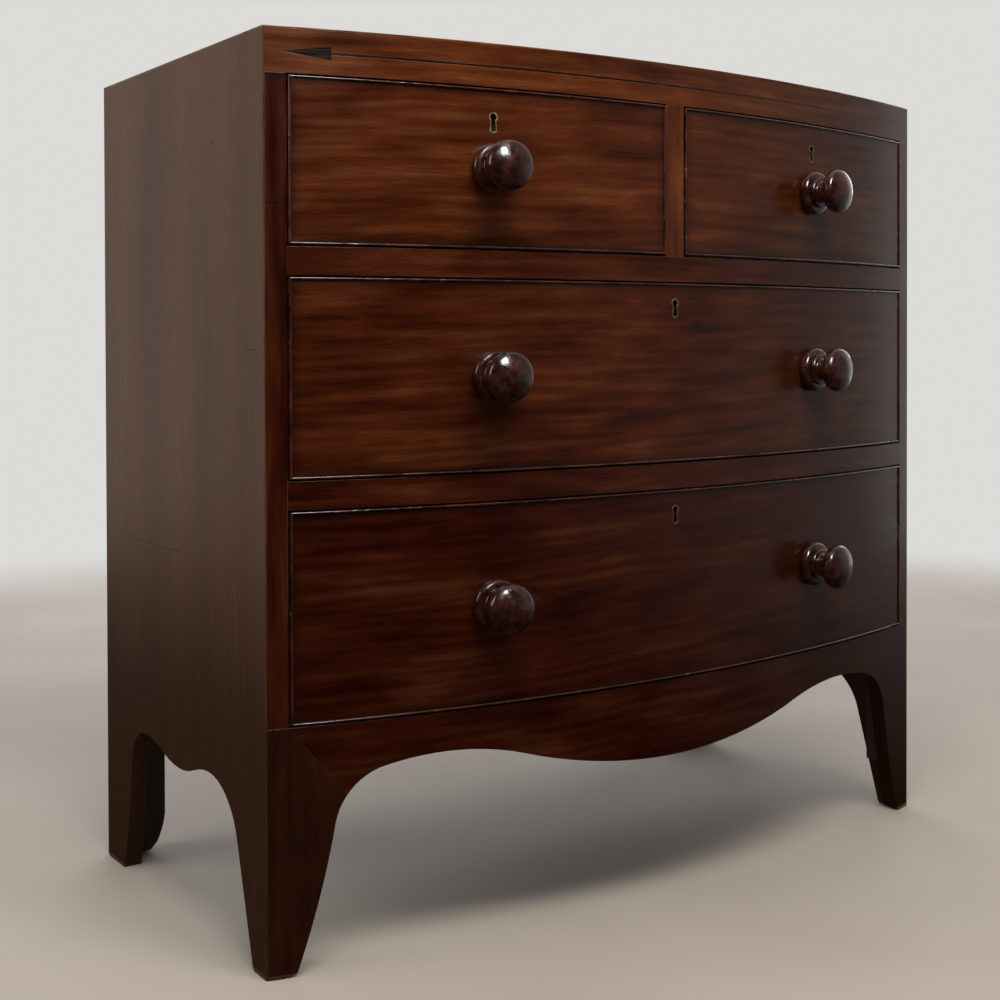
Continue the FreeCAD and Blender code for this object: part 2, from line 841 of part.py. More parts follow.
def knob(name, x, z):
    """Turned knob with its shank: a round base and collar, a neck and an oval head."""
    collar_front = "(knob_base_thickness + knob_collar_thickness)"
    behind = "180 deg - knob_blend_angle"
    neck_end = "180 deg - asin(knob_neck_radius / knob_dome_radius)"
    dome_front = ("0", "(knob_head_centre - knob_dome_offset)")
    dome_back = ("0", "(knob_head_centre + knob_dome_offset)")
    rim_centre = ("(knob_head_radius - knob_head_rim_radius)", "knob_head_centre")
    cove_centre = ("(knob_neck_radius + knob_cove_radius)", f"({collar_front} + knob_cove_radius)")
    # The tip is worn to a small flat, whose edge reaches as far ahead of the slanting face as a round tip
    dome = planed_arc(dome_front, "knob_dome_radius", "knob_turn", "knob_blend_angle", DOME_FLATS)
    corners = [("0", "front_thickness"), ("0", dome[0][1])] + dome
    corners += planed_arc(rim_centre, "knob_head_rim_radius", "knob_blend_angle", behind, RIM_FLATS)[1:]
    corners += planed_arc(dome_back, "knob_dome_radius", behind, neck_end, 1)[1:]
    corners += planed_arc(cove_centre, "knob_cove_radius", "270 deg", "180 deg", 1)
    corners += swelling(
        "knob_collar_radius", "knob_base_thickness", "knob_collar_thickness", "knob_collar_bulge", COLLAR_FLATS
    )
    corners += swelling("knob_foot_radius", "0", "knob_base_thickness", "knob_base_bulge", BASE_FLATS)
    corners += [
        ("knob_shank_radius", "0"),
        ("knob_shank_radius", "front_thickness"),
    ]
    return set_on_bow(turned(name, corners), x, z)


def shank_hole(name, x, z):
    """Hole for a knob's shank through a drawer front."""
    corners = [
        ("0", "-tool_overrun"),
        ("knob_shank_radius", "-tool_overrun"),
        ("knob_shank_radius", "front_thickness + tool_overrun"),
        ("0", "front_thickness + tool_overrun"),
    ]
    return set_on_bow(turned(name, corners), x, z)


def bead_nose(side, front, ahead):
    """Corners round the front of a cockbead, from one side to the other.

    The nose is a half round planed in flats. ahead is the sign of the direction that it points in.
    """
    corners = []
    for flat in range(BEAD_FLATS + 1):
        turn = f"{180 * flat / BEAD_FLATS} deg"
        across = f"({side}) + bead_thickness / 2 * (1 - cos({turn}))"
        along = f"({front}) {ahead} bead_thickness / 2 * (sin({turn}) - 1)"
        corners.append((across, along))
    return corners


def bead_ring(name, bottom):
    """Ring about the bow's axis with the section of a cockbead."""
    body = doc.addObject("PartDesign::Body", name)
    nose = [(radius, z) for z, radius in bead_nose("0", "bow_radius + bead_proud", "+")]
    back = [("bow_radius - bead_depth", "bead_thickness"), ("bow_radius - bead_depth", "0")]
    sketch = outline(body, "XZ_Plane", nose + back)
    feature = body.newObject("PartDesign::Revolution", name + "_sweep")
    feature.Profile = sketch
    feature.ReferenceAxis = (sketch, ["V_Axis"])
    feature.Angle = 360
    bind(body, {"Placement.Base.y": "bow_axis_y", "Placement.Base.z": bottom})
    return body


def upright_bead(name, left, bottom, top):
    """Straight strip of cockbead at the end of a drawer front."""
    middle = bow_y(f"({left}) + bead_thickness / 2")
    right = f"({left}) + bead_thickness"
    back = f"{middle} + bead_depth"
    corners = bead_nose(left, f"{middle} - bead_proud", "-") + [(right, back), (left, back)]
    return pad(name, "XY_Plane", corners, bottom, f"({top}) - ({bottom})")


def cockbeads(name, left, right, bottom, top):
    """Four strips of cockbead round a drawer front, mitred at its corners."""
    inner_left = f"({left}) + bead_thickness"
    inner_right = f"({right}) - bead_thickness"
    inner_bottom = f"({bottom}) + bead_thickness"
    inner_top = f"({top}) - bead_thickness"
    corners = {
        "top": [(left, top), (inner_left, inner_top), (inner_right, inner_top), (right, top)],
        "bottom": [(left, bottom), (right, bottom), (inner_right, inner_bottom), (inner_left, inner_bottom)],
        "left": [(left, bottom), (inner_left, inner_bottom), (inner_left, inner_top), (left, top)],
        "right": [(right, bottom), (right, top), (inner_right, inner_top), (inner_right, inner_bottom)],
    }
    strips = {
        "top": bead_ring(f"{name}_top_ring", inner_top),
        "bottom": bead_ring(f"{name}_bottom_ring", bottom),
        "left": upright_bead(f"{name}_left_strip", left, bottom, top),
        "right": upright_bead(f"{name}_right_strip", inner_right, bottom, top),
    }
    pieces = []
    for place, strip in strips.items():
        ends = pad(f"{name}_{place}_mitres", "XZ_Plane", corners[place], *THROUGH_FRONT)
        pieces.append(common(f"{name}_{place}_bead", strip, ends))
    return group(name, pieces)


def tails(root, tip, bottom, top, count, rising):
    """Corners of a row of dovetails between two heights, in the order of going up or down."""
    pitch = f"((({top}) - ({bottom})) / {count})"
    at_tip = f"({pitch} - pin_width) / 2"
    # A tail narrows from its tip to its root by the slope along its length
    at_root = f"({at_tip} - abs(({tip}) - ({root})) / dovetail_slope)"
    corners = []
    for place in range(count) if rising else reversed(range(count)):
        middle = f"({bottom}) + {place + 0.5} * {pitch}"
        near, far = ("-", "+") if rising else ("+", "-")
        corners += [
            (root, f"{middle} {near} {at_root}"),
            (tip, f"{middle} {near} ({at_tip})"),
            (tip, f"{middle} {far} ({at_tip})"),
            (root, f"{middle} {far} {at_root}"),
        ]
    return corners


def drawer_side(name, left, shoulder, tip, floor, ceiling, count, bottom):
    """Drawer side with half-blind tails at the front and through tails at the back."""
    lower = f"({floor} + running_clearance)"
    upper = f"({ceiling} - drawer_side_drop)"
    back_floor = f"({lower} + drawer_bottom_rise + drawer_bottom_thickness)"
    root = "(drawer_end_y - drawer_back_thickness)"
    corners = [(shoulder, lower), ("drawer_end_y", lower), ("drawer_end_y", back_floor), (root, back_floor)]
    corners += tails(root, "drawer_end_y", back_floor, upper, count - 1, True)
    corners += [(root, upper), (shoulder, upper)]
    corners += tails(shoulder, tip, lower, upper, count, False)
    blank = pad(name + "_blank", "YZ_Plane", corners, left, "drawer_side_thickness")
    return cut(name, blank, bottom)


def drawer(name, opening, knob_places, keyhole, count, inner_shoulder):
    """A drawer and its lock. Returns its nodes by the part of the drawer that each is.

    opening is (left, right, floor, ceiling), knob_places the knobs' x, keyhole its (x, drop), count the
    number of dovetails at each front corner, and inner_shoulder the x at which the right side's
    shoulder meets the inner face of the front.
    """
    left, right, floor, ceiling = opening
    edge_left = f"({left} + drawer_gap)"
    edge_right = f"({right} - drawer_gap)"
    lower = f"({floor} + drawer_gap)"
    upper = f"({ceiling} - drawer_gap)"
    middle_z = f"(({floor} + {ceiling}) / 2)"
    key_x, key_drop = keyhole

    bottom_z = f"({floor} + running_clearance + drawer_bottom_rise)"
    groove_left = f"({edge_left} + groove_depth)"
    groove_right = f"({edge_right} - groove_depth)"
    bottom = straight_backed_board(
        name + "_bottom",
        groove_left,
        groove_right,
        "drawer_end_y",
        bottom_z,
        f"{bottom_z} + drawer_bottom_thickness",
        "front_thickness - groove_depth",
    )

    outer_shoulder = f"({edge_left} + drawer_side_thickness)"
    sides = [
        drawer_side(
            f"{name}_left_side",
            edge_left,
            bow_y(outer_shoulder, "front_thickness"),
            f"{bow_y(edge_left)} + front_lap",
            floor,
            ceiling,
            count,
            bottom,
        ),
        drawer_side(
            f"{name}_right_side",
            f"{edge_right} - drawer_side_thickness",
            bow_y(inner_shoulder, "front_thickness"),
            f"{bow_y(edge_right)} + front_lap",
            floor,
            ceiling,
            count,
            bottom,
        ),
    ]
    back_blank = box(
        name + "_back_blank",
        edge_left,
        edge_right,
        "drawer_end_y - drawer_back_thickness",
        "drawer_end_y",
        f"{bottom_z} + drawer_bottom_thickness",
        f"{ceiling} - drawer_side_drop",
    )
    back = cut(name + "_back", back_blank, *sides)

    beads = cockbeads(name + "_cockbead", edge_left, edge_right, lower, upper)
    knobs = [knob(f"{name}_knob_{i}", x, middle_z) for i, x in enumerate(knob_places, 1)]
    holes = [shank_hole(f"{name}_shank_hole_{i}", x, middle_z) for i, x in enumerate(knob_places, 1)]
    plate, hole, ring = escutcheon(name, key_x, f"{ceiling} - {key_drop}")

    lock_blank = lock_block(
        name + "_lock_blank",
        "lock_width / 2",
        "bolt_middle_depth",
        "lock_depth / 2",
        f"{upper} - lock_height",
        "lock_height",
        key_x,
    )
    channel = lock_block(
        name + "_bolt_channel",
        "channel_half_width",
        "bolt_middle_depth",
        "bolt_thickness / 2 + bolt_clearance",
        f"{upper} - bolt_height - bolt_clearance",
        "bolt_height + bolt_clearance",
        key_x,
    )
    lock_case = cut(name + "_lock_case", lock_blank, channel, hole)
    bolt = lock_block(
        name + "_lock_bolt",
        "bolt_width / 2",
        "bolt_middle_depth",
        "bolt_thickness / 2",
        f"{upper} - bolt_height",
        "bolt_height",
        key_x,
    )

    front_blank = curved_board(name + "_front_blank", edge_left, edge_right, "front_thickness", lower, upper)
    tools = [*beads.Links, *sides, bottom, *holes, plate, hole, lock_blank]
    front = cut(name + "_front", front_blank, *tools)
    knob_node = group(name + "_knobs", knobs) if len(knobs) > 1 else group(name + "_knob", knobs)
    return [front, beads, *sides, back, bottom, knob_node, ring, lock_case, bolt]


def build():
    """Build every sub-part, the case from the front back and then the drawers."""
    short_lock = ("-knob_offset", "short_keyhole_drop")
    left_mortise = mortise("upper_left_mortise", short_lock[0], "case_ceiling")
    right_mortise = mirror("upper_right_mortise", left_mortise)
    frieze_rail = frieze([left_mortise, right_mortise])
    middle_mortise = mortise("middle_mortise", "0", "upper_rail_underside")
    bottom_mortise = mortise("bottom_mortise", "0", "lower_rail_underside")
    upper_rail = rail("upper_rail", "upper_rail_underside", "upper_rail_top", middle_mortise)
    lower_rail = rail("lower_rail", "lower_rail_underside", "lower_rail_top", bottom_mortise)
    left_stile = keep(
        straight_backed_board(
            "left_stile", "-facing_half", "-opening_half", "stile_back_y", "apron_top", "case_ceiling"
        )
    )
    keep(mirror("right_stile", left_stile))
    keep(
        straight_backed_board(
            "centre_muntin", "-muntin_half", "muntin_half", "muntin_back_y", "upper_rail_top", "case_ceiling"
        )
    )
    skirt = skirt_board()
    wedge = foot_wedge()
    keep(cut("front_apron", skirt, wedge, mirror("right_foot_wedge", wedge)))
    left_foot = keep(common("left_front_foot", skirt, wedge))
    keep(mirror("right_front_foot", left_foot))

    board = keep(bottom_board())
    backs = keep(back_boards())
    left_side = side_panel([left_stile, left_foot, frieze_rail, upper_rail, lower_rail, board, *backs.Links])
    keep(mirror("right_side", left_side))
    top_board()
    rear_brackets()
    runners()
    kickers()
    stops()
    glue_blocks()

    short_opening = ("-opening_half", "-muntin_half", "upper_rail_top", "case_ceiling")
    short = drawer(
        "left_short_drawer",
        short_opening,
        ["-knob_offset"],
        short_lock,
        SHORT_TAIL_COUNT,
        "(muntin_half + drawer_gap)",
    )
    for piece in short:
        keep(piece)
        keep(mirror(mirrored_name(piece.Name), piece))
    long_lock = ("0", "long_keyhole_drop")
    knob_pair = ["-knob_offset", "knob_offset"]
    long_shoulder = "(opening_half - drawer_gap - drawer_side_thickness)"
    openings = (
        ("middle_drawer", "lower_rail_top", "upper_rail_underside"),
        ("bottom_drawer", "apron_top", "lower_rail_underside"),
    )
    for name, floor, ceiling in openings:
        opening = ("-opening_half", "opening_half", floor, ceiling)
        for piece in drawer(name, opening, knob_pair, long_lock, LONG_TAIL_COUNT, long_shoulder):
            keep(piece)


def mirrored_name(name):
    """Name of a short drawer's piece on the other side of the chest."""
    swap = {"left": "right", "right": "left"}
    return "_".join(swap.get(word, word) for word in name.split("_"))


def check_and_export():
    """Stop if any object failed, then write each node's solids to a file of its own."""
    for thing in doc.Objects:
        if "Invalid" in thing.State or "Error" in thing.State:
            raise RuntimeError(f"{thing.Name} failed: {thing.State}")
    for node in nodes:
        if node.Shape.isNull() or not node.Shape.isValid() or not node.Shape.Solids:
            raise RuntimeError(f"{node.Label} has no valid solid")
    os.makedirs("parts", exist_ok=True)
    for node in nodes:
        node.Shape.exportStep(f"parts/{node.Label}.step")


build()
doc.recompute()
check_and_export()
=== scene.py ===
"""Finishes for a bow front chest of drawers, laid out as an add-on.

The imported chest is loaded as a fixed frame. Each operator then finishes one group of like pieces: the
polished front, the waxed sides, the figured drawer fronts, the turned knobs, the cockbeads and so on. X
runs along the front, Y from the front to the back and Z up, in metres.
"""

import math
import random

import bmesh
import bpy
from mathutils import Matrix, Vector, noise


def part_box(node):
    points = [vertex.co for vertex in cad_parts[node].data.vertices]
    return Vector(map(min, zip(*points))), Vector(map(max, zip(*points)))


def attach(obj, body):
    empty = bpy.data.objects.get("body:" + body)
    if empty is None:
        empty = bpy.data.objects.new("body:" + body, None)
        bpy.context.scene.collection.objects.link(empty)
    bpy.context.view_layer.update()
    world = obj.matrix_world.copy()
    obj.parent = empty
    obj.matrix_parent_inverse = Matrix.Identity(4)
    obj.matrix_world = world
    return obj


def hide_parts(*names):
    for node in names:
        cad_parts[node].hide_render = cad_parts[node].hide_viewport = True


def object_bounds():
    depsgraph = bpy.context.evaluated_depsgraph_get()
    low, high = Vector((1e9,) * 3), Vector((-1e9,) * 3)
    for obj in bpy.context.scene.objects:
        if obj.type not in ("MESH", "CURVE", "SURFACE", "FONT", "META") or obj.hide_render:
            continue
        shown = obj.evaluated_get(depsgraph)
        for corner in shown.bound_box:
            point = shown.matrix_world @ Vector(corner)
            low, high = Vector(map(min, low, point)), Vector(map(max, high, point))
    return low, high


bl_info = {
    "name": "Bow front chest of drawers",
    "version": (1, 0, 0),
    "blender": (4, 5, 0),
    "location": "3D View > Sidebar > Chest",
    "description": "Finishes the packed chest of drawers and sets its stage",
    "category": "Object",
}

MM = 0.001
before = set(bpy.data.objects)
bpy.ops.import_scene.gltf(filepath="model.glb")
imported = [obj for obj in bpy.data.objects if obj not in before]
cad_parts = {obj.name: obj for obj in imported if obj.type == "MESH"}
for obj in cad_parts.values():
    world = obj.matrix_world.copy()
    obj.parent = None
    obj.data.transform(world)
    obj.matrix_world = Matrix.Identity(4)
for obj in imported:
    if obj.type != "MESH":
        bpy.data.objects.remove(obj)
CAD_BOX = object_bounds()
BOW_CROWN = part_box("frieze_rail")[0].y
# Painted sheen: a greyish brown is laid over the front, growing from left to right between these distances
# from its middle
PAINTED_SHEEN_SPAN = (-60 * MM, 360 * MM)

# Which of the chest's axes lie along the grain, across it and into the board
FRONT_ACROSS = "XZY"
FRONT_UPRIGHT = "ZXY"
SIDE_UPRIGHT = "ZYX"
SIDE_ACROSS = "YZX"
LYING_ACROSS = "XYZ"
LYING_DEEP = "YXZ"

SHORT_DRAWERS = ("left_short_drawer", "right_short_drawer")
LONG_DRAWERS = ("middle_drawer", "bottom_drawer")
DRAWERS = SHORT_DRAWERS + LONG_DRAWERS


def linear(code):
    """Linear red, green and blue of an sRGB hex colour."""
    values = [int(code[i : i + 2], 16) / 255 for i in (0, 2, 4)]
    return tuple(v / 12.92 if v <= 0.04045 else ((v + 0.055) / 1.055) ** 2.4 for v in values)


def colour(name, description, code):
    """Colour property of a finish."""
    return bpy.props.FloatVectorProperty(
        name=name, description=description, default=linear(code), min=0, max=1, size=3, subtype="COLOR"
    )


def length(name, description, millimetres):
    """Length property, given in millimetres and kept in metres."""
    return bpy.props.FloatProperty(
        name=name, description=description, default=millimetres * MM, min=0, unit="LENGTH"
    )


def power(name, description, watts):
    """Power property of a lamp, in watts."""
    return bpy.props.FloatProperty(name=name, description=description, default=watts, min=0, unit="POWER")


class MahoganyFinish(bpy.types.PropertyGroup):
    """Colours and figure of the mahogany."""

    shade: colour("Shade", "Darkest growth of the polished front", "200c04")
    dark: colour("Dark", "Dark streaks of the polished front", "3a1807")
    body: colour("Body", "Middle tone of the polished front", "54280c")
    flame: colour("Flame", "Orange-brown streaks of the polished front", "754119")
    # Painted sheen: this greyish brown stands in for the grey sheen on the right of the bow, and lies on the
    # feet too
    painted_sheen: colour("Thick polish", "Thick dark polish at the right of the front and on the feet", "29180e")
    side_dark: colour("Side, dark", "Darkest streaks of the faded sides", "3a2518")
    side_light: colour("Side, light", "Lightest streaks of the faded sides", "60412d")
    # Besides grime, pores and bruises, this colour paints shade on the lower part of the sides
    grime_and_shade: colour("Handled", "Lower part of the sides, darkened by handling and floor polish", "2e1a10")
    worn: colour("Worn edge", "Bare wood where an edge is rubbed", "8a6a50")
    turned: colour("Turned wood", "Blackened polish of the knobs", "1e0e0a")
    turned_red: colour("Turned wood, red", "Red wood showing through the polish of the knobs", "3c1a12")
    bead: colour("Bead", "Redder wood of the cockbeads", "46190f")
    # Besides real flaws and the dirt in dents, this colour paints the narrow band of shade along the edges
    # of the drawer fronts and the stiles
    grime: colour("Gathered polish", "Old polish and dirt in corners", "160a06")
    cloud_length: length("Cloud length", "Length of a lighter or darker part along the grain", 260)
    cloud_width: length("Cloud width", "Height of a lighter or darker part", 70)
    patch_length: length("Patch length", "Length of a broad patch of tone along the grain", 90)
    patch_width: length("Patch width", "Height of a broad patch of tone", 26)
    ribbon_length: length("Ribbon length", "Length of a streak along the grain", 120)
    ribbon_width: length("Ribbon width", "Height of a streak", 7)
    fibre_length: length("Fibre length", "Length of the fine lines of the grain", 24)
    fibre_width: length("Fibre width", "Height of the fine lines of the grain", 1.1)
    pore_length: length("Pore length", "Length of an open pore", 9)
    pore_width: length("Pore width", "Width of an open pore, drawn wider than life so that it shows", 0.5)
    wave_length: length("Wave length", "Length of a wave in the grain", 160)
    wave_height: length("Wave height", "How far a wave lifts the grain", 5)
    arris: length("Worn arris", "Radius to which edges are rubbed round", 0.9)


class KnobSizes(bpy.types.PropertyGroup):
    """Sizes of the turned knobs."""

    offset: length("Offset", "Distance of each knob from the middle of the chest", 224)
    foot_radius: length("Foot radius", "Radius of the round base where it meets the drawer", 22)
    base_bulge: length("Base bulge", "How far the base swells past its foot", 3.3)
    base_thickness: length("Base thickness", "Thickness of the round base", 11)
    collar_radius: length("Collar radius", "Radius of the collar over the base", 16.8)
    collar_bulge: length("Collar bulge", "How far the collar swells", 0.9)
    collar_thickness: length("Collar thickness", "Thickness of the collar", 4)
    cove_radius: length("Cove radius", "Radius of the hollow under the neck", 2.5)
    neck_radius: length("Neck radius", "Radius of the neck", 11.5)
    head_radius: length("Head radius", "Radius of the head", 25)
    head_half: length("Head half thickness", "Half the thickness of the head", 12.6)
    rim_radius: length("Rim radius", "Radius of the head's rim", 8)
    head_centre: length("Head centre", "Distance of the head's middle from the drawer", 35.9)
    shank_radius: length("Shank radius", "Radius of the shank through the drawer front", 7)
    front_thickness: length("Front thickness", "Thickness of the drawer front", 22)
    wear: length("Wear", "Depth of the rubbed and dented places", 0.25)
    steps: bpy.props.IntProperty(name="Steps", description="Facets round a knob", default=96, min=24)


class BeadSizes(bpy.types.PropertyGroup):
    """Sizes of the cockbeads round the drawer fronts."""

    bow_rise: length("Bow rise", "How far the middle of the front stands ahead of its corners", 64)
    thickness: length("Thickness", "Thickness of a bead", 3)
    worn_side: length("Worn side", "How far a bead's outer side is worn back from the opening", 0.8)
    depth: length("Depth", "How far a bead is let into the drawer front", 8)
    proud: length("Proud", "How far a bead stands out from the drawer front", 2)
    chip: length("Chip", "Depth of the deepest chips", 0.7)
    chip_spacing: length("Chip spacing", "Usual distance between chips", 45)
    wander: length("Wander", "How far a bead strays from an even line", 0.12)
    step: length("Step", "Spacing of the sections along a bead", 3)


class FittingColours(bpy.types.PropertyGroup):
    """Colours of the linings, the softwood, the inlay and the metal."""

    ebony: colour("Ebony", "Stringing in the frieze", "0e0806")
    ebony_faded: colour("Ebony, faded", "Browner streaks of the stringing", "241914")
    oak: colour("Oak", "Drawer linings", "8e6e4a")
    oak_dark: colour("Oak, dark", "Dark growth of the drawer linings", "745637")
    pine: colour("Pine", "Softwood inside and behind the case", "86674a")
    pine_dark: colour("Pine, dark", "Dark growth of the softwood", "6a4d35")
    brass: colour("Brass", "Threads of the keyholes and the locks", "cfc6a6")
    tarnish: colour("Tarnish", "Dulled brass", "85744f")
    steel: colour("Steel", "Bolts of the locks", "8d8a86")


class StageSettings(bpy.types.PropertyGroup):
    """Floor, lamps and camera."""

    floor: colour("Floor", "Plain floor", "b4aea5")
    floor_shade: colour("Floor, darker", "Slightly darker places of the floor", "a09990")
    backdrop: colour("Backdrop", "Pale background", "dcdbd8")
    sky: colour("Sky", "Soft light from all round", "f6f6f8")
    # The cloth is a sheet that glows with these colours, seen only in the polish
    cloth: colour("Cloth", "Dark cloth hung ahead of the chest", "0a0909")
    glowing_card_end: colour("Cloth end", "Paler end of the cloth, at the right", "9a9a9c")
    glowing_card_radius: length("Cloth distance", "Distance of the cloth's edge from the chest", 2900)
    sky_strength: bpy.props.FloatProperty(
        name="Sky strength", description="Strength of the light from all round", default=0.37, min=0
    )
    ceiling_power: power("Ceiling power", "Power of the soft lamp overhead", 42)
    left_power: power("Left power", "Power of the soft lamp on the left", 20)
    right_power: power("Right power", "Power of the soft lamp on the right", 14)
    window_power: power("Window power", "Power of the window seen in the polish", 56)
    back_power: power("Back power", "Power of the soft lamp behind", 50)
    lens: bpy.props.FloatProperty(
        name="Lens", description="Focal length on a 36 mm sensor", default=53.15, min=1, unit="CAMERA"
    )


PROPERTY_GROUPS = {
    "chest_mahogany": MahoganyFinish,
    "chest_knobs": KnobSizes,
    "chest_beads": BeadSizes,
    "chest_fittings": FittingColours,
    "chest_stage": StageSettings,
}


# Nodes of the finishes


def new_material(name):
    """Empty node material and its tree."""
    material = bpy.data.materials.new(name)
    material.use_nodes = True
    material.node_tree.nodes.clear()
    return material, material.node_tree


def add(tree, kind, inputs=None, **settings):
    """Add a node with its settings and links.

    inputs holds, by socket, a value, the socket that feeds it, or a node whose first output does. A
    colour may have three parts. stops, for a colour ramp, holds (position, colour) pairs in order.

    Sockets that share a name go by number. In a mix, 0 is the share of the second, 2 and 3 are the two
    numbers and 6 and 7 the two colours. In a map range, 0 is the value, 1 and 2 are the ends of the range
    that it comes from and 3 and 4 the ends of the range that it goes to.
    """
    node = tree.nodes.new(kind)
    stops = settings.pop("stops", ())
    for name, value in settings.items():
        setattr(node, name, value)
    for key, value in (inputs or {}).items():
        socket = node.inputs[key]
        if isinstance(value, bpy.types.Node):
            value = next(output for output in value.outputs if output.enabled)
        if isinstance(value, bpy.types.NodeSocket):
            tree.links.new(value, socket)
        elif socket.type == "RGBA" and len(value) == 3:
            socket.default_value = (*value, 1.0)
        else:
            socket.default_value = value
    for place, tint in stops[1:-1]:
        node.color_ramp.elements.new(place)
    for element, (place, tint) in zip(node.color_ramp.elements if stops else (), stops):
        element.position = place
        element.color = (*tint, 1.0)
    return node


def coordinates(tree):
    """The three coordinates of a spot on the chest, by axis."""
    position = add(tree, "ShaderNodeTexCoord").outputs["Object"]
    return add(tree, "ShaderNodeSeparateXYZ", {0: position}).outputs


def grain_place(tree, grain, slope=0.0):
    """Position with its first axis along the grain, the second across it and the third into the board.

    The grain waves gently, and climbs by slope degrees from left to right.
    """
    finish = bpy.context.scene.chest_mahogany
    parts = coordinates(tree)
    turned = add(tree, "ShaderNodeCombineXYZ", {i: parts[axis] for i, axis in enumerate(grain)})
    turned = add(tree, "ShaderNodeMapping", {0: turned, "Rotation": (0, 0, -math.radians(slope))})
    size = (1 / finish.wave_length, 0.4 / finish.wave_length, 0)
    slow = add(tree, "ShaderNodeMapping", {0: turned, "Scale": size})
    wave = add(tree, "ShaderNodeTexNoise", {"Vector": slow, "Scale": 1, "Detail": 1})
    lift = add(tree, "ShaderNodeMapRange", {0: wave, 3: -finish.wave_height, 4: finish.wave_height})
    lift = add(tree, "ShaderNodeCombineXYZ", {1: lift})
    return add(tree, "ShaderNodeVectorMath", {0: turned, 1: lift}, operation="ADD")


def streaks(tree, place, along, across, seed, detail=2.0):
    """Noise drawn out along the grain and into the board, in streaks of a given length and width.

    seed moves it to another part of the noise.
    """
    scale = (1 / along, 1 / across, 1 / along)
    stretched = add(
        tree, "ShaderNodeMapping", {0: place, "Location": (seed, 1.7 * seed, 0.6 * seed), "Scale": scale}
    )
    return add(tree, "ShaderNodeTexNoise", {"Vector": stretched, "Scale": 1, "Detail": detail})


def rubbed_arris(tree, radius):
    """Normal with the edges rubbed round, and how strongly each spot belongs to such an edge."""
    rounded = add(tree, "ShaderNodeBevel", {"Radius": radius}, samples=4)
    true_normal = add(tree, "ShaderNodeNewGeometry").outputs["True Normal"]
    match = add(tree, "ShaderNodeVectorMath", {0: rounded, 1: true_normal}, operation="DOT_PRODUCT")
    # Cosines: an edge begins where the normal leans by 6 degrees, and is whole where it leans by 31
    edge = add(tree, "ShaderNodeMapRange", {0: match.outputs["Value"], 1: 0.995, 2: 0.86})
    return rounded, edge


def spot(tree, place, size, darkness):
    """How strongly a small mark shows at its place. Its size is 0 along each axis that it runs through."""
    position = add(tree, "ShaderNodeTexCoord").outputs["Object"]
    moved = add(tree, "ShaderNodeVectorMath", {0: position, 1: place}, operation="SUBTRACT")
    spread = [2 / s if s else 0 for s in size]
    scaled = add(tree, "ShaderNodeVectorMath", {0: moved, 1: spread}, operation="MULTIPLY")
    far = add(tree, "ShaderNodeVectorMath", {0: scaled}, operation="LENGTH").outputs["Value"]
    # 1 is the mark's edge: it is whole halfway to that, and gone a little beyond
    inputs = {0: far, 1: 1.2, 2: 0.5, 4: darkness}
    return add(tree, "ShaderNodeMapRange", inputs, interpolation_type="SMOOTHSTEP")


def darker_near_edges(tree, limits, reach, strength):
    """How strongly the wood is darkened near a board's edges.

    limits holds, for each axis named, the low and the high edge.
    """
    parts = coordinates(tree)
    total = None
    for axis, edges in limits.items():
        for edge, inside in ((edges[0], edges[0] + reach), (edges[1], edges[1] - reach)):
            inputs = {0: parts[axis], 1: inside, 2: edge, 4: strength}
            near = add(tree, "ShaderNodeMapRange", inputs, interpolation_type="SMOOTHERSTEP")
            total = add(tree, "ShaderNodeMath", {0: near, 1: total or near}, operation="MAXIMUM")
    return total


def painted_sheen_share(tree, least, most):
    """How far the painted sheen, a greyish brown, covers the front: least at the left and most at the right.
    """
    start, end = PAINTED_SHEEN_SPAN
    return add(tree, "ShaderNodeMapRange", {0: coordinates(tree)["X"], 1: start, 2: end, 3: least, 4: most})


def bare_edges(tree, base, edge, ribbons, least, most):
    """Colour with bare wood along the rubbed edges, most on the pale streaks and least between them."""
    bare = add(tree, "ShaderNodeMapRange", {0: ribbons, 1: 0.4, 2: 0.6, 3: least, 4: most})
    bare = add(tree, "ShaderNodeMath", {0: edge, 1: bare}, operation="MULTIPLY")
    worn = bpy.context.scene.chest_mahogany.worn
    return add(tree, "ShaderNodeMix", {0: bare, 6: base, 7: worn}, data_type="RGBA")


def dress(material, *names):
    """Give CAD nodes a finish."""
    for name in names:
        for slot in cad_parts[name].material_slots:
            slot.material = material


# Finishes


